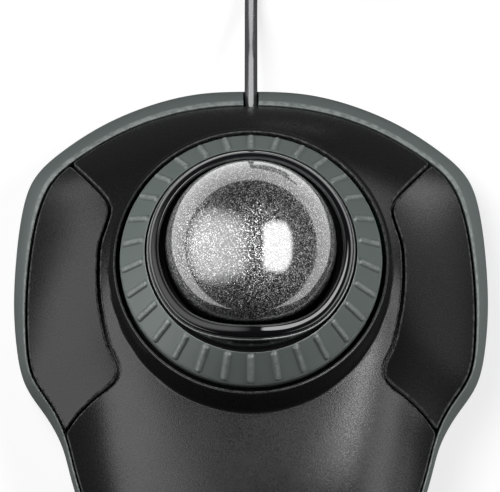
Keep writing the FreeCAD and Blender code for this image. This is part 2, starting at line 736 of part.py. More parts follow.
def bezel_shape():
    """The gloss bezel: a low ring whose front rises into a lip that leans over the ball."""
    directions = [math.tau * i / 36 for i in range(36)]

    def ring_wire(radius, height, lifted):
        points = []
        for direction in directions:
            share = lip(direction) * lifted
            points.append(at(direction, radius - dim("bezel_lean") * share, height + dim("bezel_rise") * share))
        curve = Part.BSplineCurve()
        curve.interpolate(Points=points, PeriodicFlag=True, Parameters=[float(i) for i in range(37)])
        return Part.Wire([curve.toShape()])

    foot = dim("bezel_foot")
    outer_foot = ring_wire(dim("bezel_radius"), foot, 0)
    edge = ring_wire(dim("bezel_radius"), dim("bezel_edge"), 1)
    crest = ring_wire(dim("bezel_crest_radius"), dim("bezel_crest"), 1)
    inner = ring_wire(dim("bezel_inner_radius"), dim("bezel_inner"), 1)
    inner_foot = ring_wire(21.2, foot, 0)
    under = Part.makeFace([outer_foot, inner_foot], "Part::FaceMakerBullseye")
    walls = [
        Part.makeLoft([outer_foot, edge], False, True),
        Part.makeLoft([edge, crest, inner], False, False),
        Part.makeLoft([inner, inner_foot], False, True),
    ]
    faces = [face for wall in walls for face in wall.Faces] + [under]
    shell = Part.makeShell(faces)
    shell.sewShape(1e-4)
    solid = Part.Solid(shell)
    solid.fix(1e-4, 1e-4, 1e-4)
    return solid


freeform("cup_bezel", bezel_shape())

ball("ball_core", "Dims.core_radius - Dims.core_play", y="Dims.ball_y", z="Dims.ball_z")
cut(
    "ball_shell",
    ball("ball_outside", "Dims.ball_radius", y="Dims.ball_y", z="Dims.ball_z"),
    ball("ball_hollow", "Dims.core_radius", y="Dims.ball_y", z="Dims.ball_z"),
)

# ---------------------------------------------------------------- electronics

board = new_body("main_board")
board_sketch = new_sketch(board, "XY_Plane")
polygon(board_sketch, [
    ("-28", "-20"), ("28", "-20"), ("46", "-4"), ("46", "28"),
    ("34", "42"), ("-34", "42"), ("-46", "28"), ("-46", "-4"),
])
for x, y in CUP_SCREWS:
    circle(board_sketch, "Dims.leg_radius + 0.5", f"{x}", f"{y}")
for x, y in BOARD_SCREWS:
    circle(board_sketch, "1.15", f"{x}", f"{y}")
pad(board, board_sketch, "Dims.board_thickness")
place(board, z="Dims.board_bottom")

BOARD_TOP = "Dims.board_bottom + Dims.board_thickness"
block("motion_sensor", "10", "12", "2.2", "0", "Dims.ball_y", BOARD_TOP)
lens_plate = block("lens_plate", "14", "20", "1.8", "0", "Dims.ball_y + 3", f"{BOARD_TOP} + 2.25")
lens_barrel = rod("lens_barrel", "3.4", "3.4", "0", "Dims.ball_y", f"{BOARD_TOP} + 2.25")
fuse("sensor_lens", [lens_plate, lens_barrel])
block("sensor_led", "3", "3", "2.0", "0", "Dims.ball_y + 10", BOARD_TOP)
block("microcontroller", "10", "10", "1.6", "-22", "0", BOARD_TOP)
block("cable_connector", "10", "5", "5", "0", "38", BOARD_TOP)

sensor_body = block("ring_sensor_body", "4.6", "6", "16.2", "0", "0", "0")
sensor_gap = block("ring_sensor_gap", "2.2", "8", "5", "0.05", "0", "13")
sensor_step = block("ring_sensor_step", "3", "8", "2", "2.65", "0", "16.0")
ring_sensor = cut("ring_sensor", sensor_body, fuse("ring_sensor_cuts", [sensor_gap, sensor_step]))
ring_sensor.Placement = Placement(
    at(math.radians(120), 28.15, dim("board_bottom") + dim("board_thickness")),
    Rotation(Vector(0, 0, 1), -30),
)

# ---------------------------------------------------------------- fasteners, feet and label


def screw(name, x, y, head_z, shank_length, sizes):
    """A pan-head screw that points up, with a straight slot under its head."""
    radius, head_radius, head_height = sizes
    head = rod(f"{name}_head", head_radius, head_height, x, y, f"{head_z} - ({head_height})")
    shank = rod(f"{name}_shank", radius, shank_length, x, y, head_z)
    driver = block(
        f"{name}_slot", f"2 * ({head_radius}) + 1", "0.7", "0.7", x, y, f"{head_z} - ({head_height}) - 0.01"
    )
    return cut(name, fuse(f"{name}_blank", [head, shank]), driver)


BIG_SCREW = ("Dims.screw_radius", "Dims.screw_head_radius", "Dims.screw_head_height")
group("case_screws", [
    screw(f"case_screw_{i}", f"{x}", f"{y}", "Dims.floor_top", "9", BIG_SCREW)
    for i, (x, y) in enumerate(CASE_SCREWS)
])
group("cup_screws", [
    screw(f"cup_screw_{i}", f"{x}", f"{y}", "Dims.floor_top", "14", BIG_SCREW)
    for i, (x, y) in enumerate(CUP_SCREWS)
])


def board_screw(name, x, y):
    """A small screw that points down through the board into a standoff."""
    head = rod(f"{name}_head", "1.9", "1.3", x, y, BOARD_TOP)
    shank = rod(f"{name}_shank", "0.9", "4.4", x, y, f"{BOARD_TOP} - 4.4")
    driver = block(f"{name}_slot", "5", "0.6", "0.6", x, y, f"{BOARD_TOP} + 0.71")
    return cut(name, fuse(f"{name}_blank", [head, shank]), driver)


group("board_screws", [
    board_screw(f"board_screw_{i}", f"{x}", f"{y}") for i, (x, y) in enumerate(BOARD_SCREWS)
])

group("rubber_feet", [
    rod(f"foot_{i}", "Dims.foot_radius", "Dims.foot_thickness", f"{x}", f"{y}", "0")
    for i, (x, y) in enumerate(FEET)
])
block("rating_label", "43", "19", "0.3", "0", "12", "Dims.case_bottom + 0.1")

# ---------------------------------------------------------------- cable


def tube(name, corners):
    """A cord of straight runs joined by arcs as large as the runs allow."""
    edges = []
    start = corners[0]
    for before, corner, after in zip(corners, corners[1:], corners[2:]):
        into = (corner - before).normalize()
        out = (after - corner).normalize()
        turn = into.getAngle(out)
        reach = 0.45 * min((corner - before).Length, (after - corner).Length)
        radius = reach / math.tan(turn / 2)
        print(f"{name} bend radius {radius:.1f} mm")
        arc_start = corner - into * reach
        arc_end = corner + out * reach
        bisector = (out - into).normalize()
        centre = corner + bisector * (radius / math.cos(turn / 2))
        arc_middle = centre - bisector * radius
        edges.append(Part.LineSegment(start, arc_start).toShape())
        edges.append(Part.Arc(arc_start, arc_middle, arc_end).toShape())
        start = arc_end
    edges.append(Part.LineSegment(start, corners[-1]).toShape())
    path = Part.Wire(edges)
    section = Part.Wire([Part.makeCircle(dim("cable_radius"), corners[0], corners[1] - corners[0])])
    solid = path.makePipeShell([section], True, True)
    expected = math.pi * dim("cable_radius") ** 2 * path.Length
    print(f"{name} length {path.Length:.1f} mm, volume over expected {solid.Volume / expected:.4f}")
    return solid


def coil_shape():
    """The outside of the wound length: a ring with rounded corners."""
    half = dim("coil_side") / 2
    box = crate(
        (dim("coil_x") + dim("coil_radius") - half, dim("coil_x") + dim("coil_radius") + half),
        (dim("coil_y") - 0.5, dim("coil_y") + 0.5),
        (0, 2 * half),
    )
    front = next(f for f in box.Faces if abs(f.CenterOfMass.y - (dim("coil_y") - 0.5)) < 1e-6)
    section = Part.Face(front.OuterWire).translated(Vector(0, 0.5, 0))
    solid = section.revolve(Vector(dim("coil_x"), dim("coil_y"), 0), Vector(0, 0, 1), 360)
    long_edges = [e for e in solid.Edges if isinstance(e.Curve, Part.Circle)]
    return solid.makeFillet(1.5, long_edges)


floor_z = dim("cable_radius") + 0.02
CABLE_ROUTE = [
    Vector(0.0, dim("grommet_back"), dim("cable_z")),
    Vector(0.0, 69.8, dim("cable_z")),
    Vector(0.0, 82.0, 5.4),
    Vector(0.0, 94.5, 1.75),
    Vector(0.3, 107.2, floor_z),
    Vector(0.0, dim("coil_y") - 4.0, floor_z + 0.28),
]
TAIL_ROUTE = [
    Vector(dim("coil_x"), dim("coil_y") + dim("coil_turn"), dim("plug_z")),
    Vector(dim("plug_x"), dim("coil_y") + dim("coil_turn"), dim("plug_z")),
]
coil = coil_shape()
freeform("cable_coil", coil)
freeform("usb_cable", tube("usb_cable", CABLE_ROUTE).cut(coil))
freeform("cable_tail", tube("cable_tail", TAIL_ROUTE).cut(coil))

lead = rod_along(
    "cable_lead", "y", "Dims.cable_radius", "Dims.grommet_front - 40.5", "0", "40.5", "Dims.cable_z",
)
grommet_sleeve = rod_along(
    "grommet_sleeve", "y", "2.35", "Dims.grommet_back - Dims.grommet_front", "0", "Dims.grommet_front", "Dims.cable_z",
)
grommet_flanges = [
    rod_along(f"grommet_flange_{i}", "y", "3.6", "1.2", "0", start, "Dims.cable_z")
    for i, start in enumerate(("Dims.grommet_front", "Dims.grommet_back - 1.2"))
]
fuse("cable_grommet", [grommet_sleeve] + grommet_flanges)

# plug: tapered relief, overmould, metal shell and the insert inside it
relief = doc.addObject("Part::Cone", "plug_relief")
bind(relief, {"Radius1": "2.2", "Radius2": "3.4", "Height": "9"})
relief.Placement = Placement(Vector(0, 0, 0), Rotation(Vector(0, 1, 0), 90))
PLUG_Y = "Dims.coil_y + Dims.coil_turn"
place(relief, "Dims.plug_x", PLUG_Y, "Dims.plug_z")
grip_block = block("plug_grip_block", "20", "15", "7.8", "Dims.plug_x + 18.5", PLUG_Y, "Dims.plug_z - 3.9")
grip = doc.addObject("Part::Fillet", "plug_grip")
grip.Base = grip_block
doc.recompute()
grip.Edges = [(index + 1, 1.6, 1.6) for index in range(len(grip_block.Shape.Edges))]
fuse("plug_overmould", [relief, grip])
shell_outside = block("plug_shell_outside", "12", "12", "4.5", "Dims.plug_x + 34.5", PLUG_Y, "Dims.plug_z - 2.25")
shell_inside = block("plug_shell_inside", "13", "11.4", "3.9", "Dims.plug_x + 35.6", PLUG_Y, "Dims.plug_z - 1.95")
cut("plug_shell", shell_outside, shell_inside)
block("plug_insert", "10.5", "11.3", "1.9", "Dims.plug_x + 34.4", PLUG_Y, "Dims.plug_z - 1.9")

# ---------------------------------------------------------------- check and write

NODES = [
    "base_shell", "top_cover", "left_button", "right_button", "left_hinge_pin", "right_hinge_pin",
    "left_switch", "right_switch", "left_switch_plunger", "right_switch_plunger",
    "scroll_ring", "ring_carrier", "ring_sensor", "ball_cup", "cup_bezel", "support_balls",
    "ball_core", "ball_shell", "main_board", "motion_sensor", "sensor_lens", "sensor_led",
    "microcontroller", "cable_connector", "cable_lead", "cable_grommet", "case_screws",
    "cup_screws", "board_screws", "rubber_feet", "rating_label", "usb_cable", "cable_coil",
    "cable_tail", "plug_overmould", "plug_shell", "plug_insert",
]

doc.recompute()
for item in doc.Objects:
    faults = [word for word in ("Invalid", "Error") if word in item.State]
    if faults:
        raise RuntimeError(f"{item.Label}: {', '.join(faults)}")

os.makedirs("parts", exist_ok=True)
for node in NODES:
    shape = doc.getObject(node).Shape
    if shape.isNull() or not shape.isValid():
        raise RuntimeError(f"{node}: no valid shape")
    if not shape.Solids:
        raise RuntimeError(f"{node}: no solid")
for node in NODES:
    doc.getObject(node).Shape.exportStep(f"parts/{node}.step")
    print(f"{node}: {len(doc.getObject(node).Shape.Solids)} solid(s)")
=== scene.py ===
import json
import math

import bmesh
import bpy
import numpy as np
from mathutils import Matrix, Vector, kdtree
from mathutils.geometry import delaunay_2d_cdt


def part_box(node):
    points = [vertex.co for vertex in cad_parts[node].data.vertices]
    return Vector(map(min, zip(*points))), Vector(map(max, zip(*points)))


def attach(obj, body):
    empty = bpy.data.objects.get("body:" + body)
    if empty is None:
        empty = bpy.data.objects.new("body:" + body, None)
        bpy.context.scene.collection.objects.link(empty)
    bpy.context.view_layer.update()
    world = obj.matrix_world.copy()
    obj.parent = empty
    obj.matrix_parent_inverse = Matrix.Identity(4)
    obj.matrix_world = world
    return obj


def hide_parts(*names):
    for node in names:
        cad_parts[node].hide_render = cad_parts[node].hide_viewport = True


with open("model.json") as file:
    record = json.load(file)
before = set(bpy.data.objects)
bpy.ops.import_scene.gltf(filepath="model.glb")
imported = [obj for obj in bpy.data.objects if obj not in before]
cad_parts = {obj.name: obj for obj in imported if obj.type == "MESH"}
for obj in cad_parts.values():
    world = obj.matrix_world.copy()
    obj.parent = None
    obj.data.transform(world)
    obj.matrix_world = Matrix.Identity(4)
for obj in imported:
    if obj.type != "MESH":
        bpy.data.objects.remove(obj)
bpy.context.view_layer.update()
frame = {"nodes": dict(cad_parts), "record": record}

# A wired trackball mouse. Shapes are worked out in millimetres, like the design, and
# scaled once when a mesh is made. Directions round the ball are clockwise from the back.

MM = 0.001
scene = bpy.context.scene


def centre_of(node):
    low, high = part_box(node)
    return np.array((low + high) / 2) / MM


def top_of(node):
    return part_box(node)[1].z / MM


BALL = centre_of("ball_shell")
BALL_RADIUS = (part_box("ball_shell")[1].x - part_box("ball_shell")[0].x) / 2 / MM
CASE_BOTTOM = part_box("base_shell")[0].z / MM
SEAM_HEIGHT = top_of("base_shell")
LIP_HEIGHT = top_of("top_cover")
LIP_RADIUS = 33.0
OPENING_RADIUS = 32.05
FILLET_END_RADIUS = 41.0
FRONT_DROP = 6.4
SEAM_GAP = 0.4
BUTTON_GAP = 0.8
COVER_THICKNESS = 2.0
COVER_ROUNDING = 0.42
COVER_SKIRT = 1.6
BUTTON_THICKNESS = 2.0
BUTTON_ROUNDING = 0.55
WELL_DEPTH = 3.4
WELL_THICKNESS = 1.0

# Right halves of the two outlines and of the button's inner edge, as in the design.
BASE_HALF = [
    (0.0, 66.7), (12.0, 66.2), (22.5, 63.9), (35.2, 58.6), (46.9, 50.7), (53.9, 42.9),
    (56.3, 34.1), (57.4, 22.0), (57.5, 10.0), (56.5, 0.0), (54.3, -8.3), (49.3, -15.8),
    (45.6, -22.4), (43.2, -30.0), (39.6, -42.0), (34.6, -54.5), (22.5, -64.0), (0.0, -66.7),
]
SEAM_HALF = [
    (0.0, 60.6), (10.5, 60.0), (20.0, 58.1), (30.9, 53.9), (41.5, 47.4), (48.4, 40.9),
    (51.5, 33.5), (53.4, 22.0), (54.0, 10.0), (53.6, 0.3), (52.0, -8.0), (47.3, -15.5),
    (44.1, -21.8), (41.7, -30.0), (38.0, -42.0), (32.6, -54.0), (21.0, -62.0), (0.0, -64.2),
]
BUTTON_EDGE = [
    (48.5, 51.4), (43.4, 44.6), (38.9, 38.7), (35.0, 33.5), (33.7, 30.2), (34.4, 26.6),
    (35.9, 21.4), (36.2, 15.6), (36.0, 10.1), (35.2, 4.6), (33.6, -2.1), (31.4, -7.0),
    (31.3, -9.7), (33.0, -12.1), (36.7, -14.7), (41.2, -18.6), (46.0, -24.5),
]

# ---- meshes from numpy


def new_mesh(name, points, faces, corner_normals=None, wear_and_sheen=None):
    """A smooth-shaded object from points in millimetres; corner_normals has one per face corner."""
    mesh = bpy.data.meshes.new(name)
    mesh.from_pydata((np.asarray(points) * MM).tolist(), [], faces)
    mesh.polygons.foreach_set("use_smooth", [True] * len(mesh.polygons))
    if wear_and_sheen is not None:
        layer = mesh.attributes.new("wear_and_sheen", "FLOAT", "POINT")
        layer.data.foreach_set("value", np.asarray(wear_and_sheen, np.float32))
    if corner_normals is not None:
        mesh.normals_split_custom_set(corner_normals.tolist())
    mesh.update()
    piece = bpy.data.objects.new(name, mesh)
    scene.collection.objects.link(piece)
    return piece


def grid_faces(rows, columns, wrap_rows=False, wrap_columns=True, start=0):
    """Quads over a grid of rows by columns points."""
    faces = []
    for i in range(rows if wrap_rows else rows - 1):
        for j in range(columns if wrap_columns else columns - 1):
            here, there = start + i * columns, start + (i + 1) % rows * columns
            beside = (j + 1) % columns
            faces.append((here + j, here + beside, there + beside, there + j))
    return faces


def sharpen(piece, degrees):
    """Splits the shading at edges that turn by more than this."""
    piece.data.set_sharp_from_angle(angle=math.radians(degrees))


def round_ball(radius, z, directions):
    """One row of points round the ball's axis."""
    return np.column_stack([radius * np.sin(directions), BALL[1] + radius * np.cos(directions), z])


def swept(name, rows, wear_and_sheen, degrees):
    """A closed section carried round, with its shading split at edges that turn by more than degrees."""
    faces = grid_faces(len(rows), len(rows[0]), wrap_rows=True)
    piece = new_mesh(name, np.vstack(rows), faces, wear_and_sheen=np.concatenate(wear_and_sheen))
    sharpen(piece, degrees)
    return piece


# ---- curves


def whole(half):
    """The closed outline whose right half is given."""
    return half + [(-x, y) for x, y in reversed(half[1:-1])]


def knots_of(points):
    """Distance travelled round a closed outline at each of its points."""
    points = np.asarray(points, float)
    steps = np.linalg.norm(np.roll(points, -1, 0) - points, axis=1)
    return np.concatenate([[0.0], np.cumsum(steps)])


def closed_spline(points, knots, at):
    """The smooth closed curve through points, evaluated at parameters."""
    points = np.asarray(points, float)
    n = len(points)
    h = np.diff(knots)
    matrix = np.zeros((n, n))
    right = np.zeros((n, points.shape[1]))
    for i in range(n):
        before, after = h[i - 1], h[i]
        matrix[i, i - 1] += before
        matrix[i, i] += 2 * (before + after)
        matrix[i, (i + 1) % n] += after
        right[i] = 6 * ((points[(i + 1) % n] - points[i]) / after - (points[i] - points[i - 1]) / before)
    bend = np.linalg.solve(matrix, right)
    at = np.mod(at, knots[-1])
    span = np.clip(np.searchsorted(knots, at, "right") - 1, 0, n - 1)
    u = (at - knots[span])[:, None]
    width = h[span][:, None]
    a, b = points[span], points[(span + 1) % n]
    ma, mb = bend[span], bend[(span + 1) % n]
    return (
        ma * (width - u) ** 3 / (6 * width) + mb * u**3 / (6 * width)
        + (a / width - ma * width / 6) * (width - u) + (b / width - mb * width / 6) * u
    )


def between(before, a, b, after, share):
    """A point part of the way from a to b on the smooth curve through four points."""
    return 0.5 * (
        2 * a + (b - before) * share + (2 * before - 5 * a + 4 * b - after) * share**2
        + (3 * a - before - 3 * b + after) * share**3
    )


def open_curve(points, spacing):
    """Evenly spaced points on a smooth open curve through points."""
    points = np.asarray(points, float)
    padded = np.vstack([2 * points[0] - points[1], points, 2 * points[-1] - points[-2]])
    found = []
    for i in range(len(padded) - 3):
        found += [between(*padded[i : i + 4], share) for share in np.arange(0, 1, 0.02)]
    return even(np.array(found + [points[-1]]), spacing)


def even(line, spacing):
    """A polyline resampled at even steps, with both ends kept."""
    reach = np.concatenate([[0], np.cumsum(np.linalg.norm(np.diff(line, axis=0), axis=1))])
    count = max(int(round(reach[-1] / spacing)), 2)
    return np.column_stack([np.interp(np.linspace(0, reach[-1], count + 1), reach, c) for c in line.T])


def outward(loop):
    """Unit normals of a closed loop that runs counter-clockwise, pointing out."""
    run = np.roll(loop, -1, 0) - np.roll(loop, 1, 0)
    run /= np.linalg.norm(run, axis=1)[:, None]
    return np.column_stack([run[:, 1], -run[:, 0]])


def softened(loop, spacing, rounds=3):
    """A closed loop at even steps with its corners a little rounded."""
    loop = even(np.vstack([loop, loop[:1]]), spacing)[:-1]
    for _ in range(rounds):
        loop = (np.roll(loop, 1, 0) + 2 * loop + np.roll(loop, -1, 0)) / 4
    return loop


def counter_clockwise(loop):
    x, y = loop.T
    area = np.sum(x * np.roll(y, -1) - np.roll(x, -1) * y)
    return loop if area > 0 else loop[::-1]


def circle(radius, spacing, centre):
    count = int(math.tau * radius / spacing)
    angles = np.linspace(0, math.tau, count, endpoint=False)
    return np.column_stack([centre[0] + radius * np.cos(angles), centre[1] + radius * np.sin(angles)])


# ---- the shell's top surface

SEAM = whole(SEAM_HALF)
SEAM_KNOTS = knots_of(SEAM)
DENSE = closed_spline(SEAM, SEAM_KNOTS, np.linspace(0, SEAM_KNOTS[-1], 2001)[:-1])
SEAM_DIRECTION = np.arctan2(DENSE[:, 0], DENSE[:, 1] - BALL[1])
SEAM_REACH = np.hypot(DENSE[:, 0], DENSE[:, 1] - BALL[1])

START_BELOW_LIP = 0.3
FRONT_SOFTNESS = 0.02
BACK_SLOPE = 0.6
SLOPE_LOST_IN_FRONT = 0.5
COLLAR_WIDTH = 0.2
COLLAR_RUN = 0.4
COLLAR_ROUNDING = 0.5
COLLAR_FILLET = 1.1


def seam_reach(direction):
    """Distance from the ball's axis to the seam."""
    return np.interp(direction, SEAM_DIRECTION, SEAM_REACH, period=math.tau)


def smooth_max(a, b, soft):
    """The higher of a and b, with a rounded change from one to the other."""
    share = np.clip(0.5 + 0.5 * (a - b) / soft, 0, 1)
    return b + (a - b) * share + soft * share * (1 - share)


def shell_height(points):
    """Height of the moulded top surface above points of the plan.

    The shell falls from the collar to the seam, rounder and lower in front, and the collar's
    steep wall rises out of it to the lip.
    """
    x, y = points[:, 0], points[:, 1]
    direction = np.arctan2(x, y - BALL[1])
    reach = np.hypot(x, y - BALL[1])
    forward = -np.cos(direction)
    front = 0.5 * (forward + np.sqrt(forward**2 + FRONT_SOFTNESS))
    start = LIP_HEIGHT - START_BELOW_LIP - FRONT_DROP * front
    share = (reach - LIP_RADIUS) / (seam_reach(direction) - LIP_RADIUS)
    slope = BACK_SLOPE - SLOPE_LOST_IN_FRONT * front
    fall = slope * share + (1 - slope) * np.maximum(share, 0) ** (2 + front)
    shell = SEAM_HEIGHT + (start - SEAM_HEIGHT) * (1 - fall)
    wall = LIP_HEIGHT - (reach - LIP_RADIUS + COLLAR_WIDTH) / COLLAR_RUN
    collar = -smooth_max(np.full_like(wall, -LIP_HEIGHT), -wall, COLLAR_ROUNDING)
    return smooth_max(shell, collar, COLLAR_FILLET)


def shell_normals(points):
    step = 0.02
    rises = [shell_height(points + move) - shell_height(points - move) for move in step * np.eye(2)]
    normals = np.column_stack([-rises[0] / (2 * step), -rises[1] / (2 * step), np.ones(len(points))])
    return normals / np.linalg.norm(normals, axis=1)[:, None]


# ---- panels with rounded edges

# Rings of points across a rounded edge, as shares of its radius, and the margin to the next.
EDGE_STEPS = np.array([0.08, 0.22, 0.42, 0.68, 1.0])
EDGE_MARGIN = 0.45
HEX_ROW = 0.866


def inside(points, loops):
    """Even-odd test of points against closed loops."""
    hit = np.zeros(len(points), bool)
    for loop in loops:
        for a, b in zip(loop, np.roll(loop, -1, 0)):
            rows = (a[1] > points[:, 1]) != (b[1] > points[:, 1])
            if rows.any():
                cross = a[0] + (points[rows, 1] - a[1]) / (b[1] - a[1]) * (b[0] - a[0])
                hit[rows] ^= points[rows, 0] < cross
    return hit


def tree_of(points):
    """A search tree over points of the plan."""
    tree = kdtree.KDTree(len(points))
    for i, (x, y) in enumerate(points):
        tree.insert((x, y, 0), i)
    tree.balance()
    return tree


def ids_of(loops):
    """The numbers that each loop's points have when the loops are stacked."""
    starts = np.concatenate([[0], np.cumsum([len(loop) for loop in loops])[:-1]])
    return [start + np.arange(len(loop)) for loop, start in zip(loops, starts)]


def from_rim(points, loops):
    """Each point's distance to the nearest rim, and the unit direction towards it."""
    starts = np.vstack(loops)
    ends = np.vstack([np.roll(loop, -1, 0) for loop in loops])
    before = np.concatenate([np.roll(ids, 1) for ids in ids_of(loops)])
    tree = tree_of(starts)
    nearest = np.array([tree.find((x, y, 0))[1] for x, y in points])
    best = np.full(len(points), np.inf)
    towards = np.zeros_like(points)
    for ids in (nearest, before[nearest]):
        a, run = starts[ids], ends[ids] - starts[ids]
        share = np.clip(np.sum((points - a) * run, 1) / np.sum(run * run, 1), 0, 1)
        gap = a + run * share[:, None] - points
        distance = np.linalg.norm(gap, axis=1)
        closer = distance < best
        best[closer] = distance[closer]
        towards[closer] = gap[closer] / np.maximum(distance[closer], 1e-9)[:, None]
    return best, towards


def hex_grid(low, high, spacing):
    """Points spacing apart in staggered rows over a rectangle."""
    rows = np.arange(low[1], high[1], spacing * HEX_ROW)
    points = []
    for i, y in enumerate(rows):
        xs = np.arange(low[0] + (i % 2) * spacing / 2, high[0], spacing)
        points.append(np.column_stack([xs, np.full(len(xs), y)]))
    return np.vstack(points)


def plan_of(loops, rim_side, edge_radius, extra, spacing):
    """Points of a panel's plan: its rim, rings along the rounded edge, and an even fill."""
    rim = np.vstack(loops)
    insets = np.append(EDGE_STEPS * edge_radius, edge_radius + EDGE_MARGIN)
    rings = np.vstack([rim - rim_side * inset for inset in insets])
    apart = from_rim(rings, loops)[0] > np.repeat(insets, len(rim)) * 0.93
    rings = rings[apart & inside(rings, loops)]
    fill = hex_grid(loops[0].min(0), loops[0].max(0), spacing)
    if extra is not None:
        tree = tree_of(extra)
        gaps = np.array([tree.find((x, y, 0))[2] for x, y in fill])
        fill = np.vstack([fill[gaps > spacing * 0.6], extra])
    fill = fill[inside(fill, loops)]
    fill = fill[from_rim(fill, loops)[0] > edge_radius + 2 * EDGE_MARGIN]
    return np.vstack([rim, rings, fill])


def triangles_over(plan, loops):
    """Triangles between the points of a plan, with the rims as edges and the holes left open."""
    rims = []
    for ids in ids_of(loops):
        rims += zip(ids.tolist(), np.roll(ids, -1).tolist())
    cells = delaunay_2d_cdt([Vector(p) for p in plan], rims, [], 0, 1e-7)
    source = np.array([ids[0] if ids else -1 for ids in cells[3]])
    faces = np.array([[source[v] for v in f] for f in cells[2] if len(f) == 3])
    return faces[inside(plan[faces].mean(1), loops)]


def walls_of(plan, side, loops):
    """Upright quads from the rims to the underside, and the normals of their corners."""
    count = len(plan)
    walls, normals = [], []
    for ids in ids_of(loops):
        for a, b in zip(ids.tolist(), np.roll(ids, -1).tolist()):
            run, middle = plan[b] - plan[a], side[a] + side[b]
            quad = (b, a, a + count, b + count)
            if run[0] * middle[1] - run[1] * middle[0] >= 0:
                quad = quad[::-1]
            walls.append(quad)
            normals += [(*side[v % count], 0.0) for v in quad]
    return walls, np.array(normals)


def panel(
    outer, holes, thickness, edge_radius, height, normals_of, extra=None, spacing=1.5, drop=0.0, skirt=0.0,
):
    """A closed moulded panel: a top surface with rounded edges, walls and an underside.

    outer and holes are closed loops in plan; height and normals_of give its top surface, drop
    lowers it, and extra adds points. The walls reach skirt below the underside. Gives points,
    faces, corner normals and the share across each rounded edge, where a lighter edge colour
    is painted, mostly as a highlight and partly as wear.
    """
    loops = [counter_clockwise(loop) for loop in (outer, *holes)]
    rim_side = np.vstack([outward(loops[0])] + [-outward(hole) for hole in loops[1:]])
    plan = plan_of(loops, rim_side, edge_radius, extra, spacing)
    faces = triangles_over(plan, loops)
    on_rim = slice(len(rim_side))
    depth_in, side = from_rim(plan, loops)
    side[on_rim] = rim_side
    depth_in = np.minimum(depth_in, edge_radius)
    depth_in[on_rim] = 0.0
    flat = edge_radius - depth_in
    rounding = edge_radius - np.sqrt(np.maximum(edge_radius**2 - flat**2, 0))
    share = flat / edge_radius
    normals = normals_of(plan) * np.sqrt(1 - share**2)[:, None]
    normals += np.column_stack([side, np.zeros(len(plan))]) * share[:, None]
    normals /= np.linalg.norm(normals, axis=1)[:, None]
    level = height(plan) - drop
    top = np.column_stack([plan, level - rounding])
    under = np.column_stack([plan, level - thickness])
    under[on_rim, 2] -= skirt
    walls, wall_normals = walls_of(plan, side, loops)
    under_faces = faces[:, ::-1] + len(plan)
    under_normals = np.tile([0.0, 0.0, -1.0], (faces.size, 1))
    # The share across each rounded edge marks where the edge colour is painted lighter, mostly as a
    # highlight and partly as wear.
    return compact(
        np.vstack([top, under]),
        faces.tolist() + under_faces.tolist() + walls,
        np.vstack([normals[faces.reshape(-1)], under_normals, wall_normals]),
        np.concatenate([share, np.zeros(len(plan))]),
    )


def compact(points, faces, corner_normals, wear_and_sheen):
    """Drops the points that no face uses."""
    used = np.unique(np.concatenate(faces))
    place_of = np.zeros(len(points), int)
    place_of[used] = np.arange(len(used))
    faces = [tuple(place_of[list(face)].tolist()) for face in faces]
    return points[used], faces, corner_normals, wear_and_sheen[used]


def joined(parts):
    """Several panels as one mesh's points, faces, normals and shares of painted edge highlight and wear.
    """
    points, faces, normals, wear_and_sheen = zip(*parts)
    starts = np.cumsum([0] + [len(p) for p in points])
    moved = [tuple(v + int(start) for v in face) for start, some in zip(starts, faces) for face in some]
    return np.vstack(points), moved, np.vstack(normals), np.concatenate(wear_and_sheen)


# ---- outlines of cover and buttons

FAR_LEFT = -80.0
MIDLINE_SLACK = 0.05


def mirrored(loop):
    return np.column_stack([-loop[:, 0], loop[:, 1]])


def right_half(distance):
    """The seam's right half, from the back to the front, moved inwards by distance."""
    loop = counter_clockwise(DENSE)
    loop = loop - outward(loop) * distance
    right = loop[loop[:, 0] >= -MIDLINE_SLACK]
    return right[np.argsort(-np.unwrap(np.arctan2(right[:, 1], right[:, 0] + 1e-9)))]


def button_line(gap):
    """The button's inner edge, moved by gap towards the ball."""
    line = open_curve(BUTTON_EDGE, 0.25)
    run = np.gradient(line, axis=0)
    run /= np.linalg.norm(run, axis=1)[:, None]
    return line + np.column_stack([run[:, 1], -run[:, 0]]) * gap


def seam_and_edge(inset, gap):
    """The seam, the two points on it where the button's edge meets it, and the edge between them."""
    seam, line = right_half(inset), button_line(gap)
    within = inside(line, [np.vstack([seam, [[FAR_LEFT, seam[-1, 1]], [FAR_LEFT, seam[0, 1]]]])])
    first, last = np.flatnonzero(within)[[0, -1]]
    a, b = (int(np.argmin(np.linalg.norm(seam - line[i], axis=1))) for i in (first, last))
    return seam, a, b, line[first : last + 1]


def cover_outline():
    seam, a, b, edge = seam_and_edge(SEAM_GAP / 2, BUTTON_GAP / 2)
    right = np.vstack([seam[:a], edge, seam[b + 1 :]])
    return softened(np.vstack([right, mirrored(right)[::-1]]), 0.45)


def button_outline(inset=SEAM_GAP / 2 + 0.15, gap=-BUTTON_GAP / 2):
    seam, a, b, edge = seam_and_edge(inset, gap)
    return softened(np.vstack([edge, seam[a : b + 1][::-1]]), 0.4)


# ---- shader nodes

# Where most of a noise's values lie, and where the commonest do.
NOISE_SPREAD = (0.3, 0.7)
NOISE_MIDDLE = (0.35, 0.65)


def nodes_of(name):
    material = bpy.data.materials.new(name)
    material.use_nodes = True
    tree = material.node_tree
    return material, tree, tree.nodes["Principled BSDF"]


def add(tree, kind, **settings):
    node = tree.nodes.new(kind)
    for key, value in settings.items():
        setattr(node, key, value)
    return node


def feed(socket, value):
    """Links a socket to a node's output, or sets it to a plain value."""
    if isinstance(value, bpy.types.NodeSocket):
        socket.id_data.links.new(value, socket)
    else:
        socket.default_value = value


def feed_all(node, **values):
    """Feeds the sockets named by the keywords, with _ for a space."""
    for name, value in values.items():
        feed(node.inputs[name.replace("_", " ")], value)


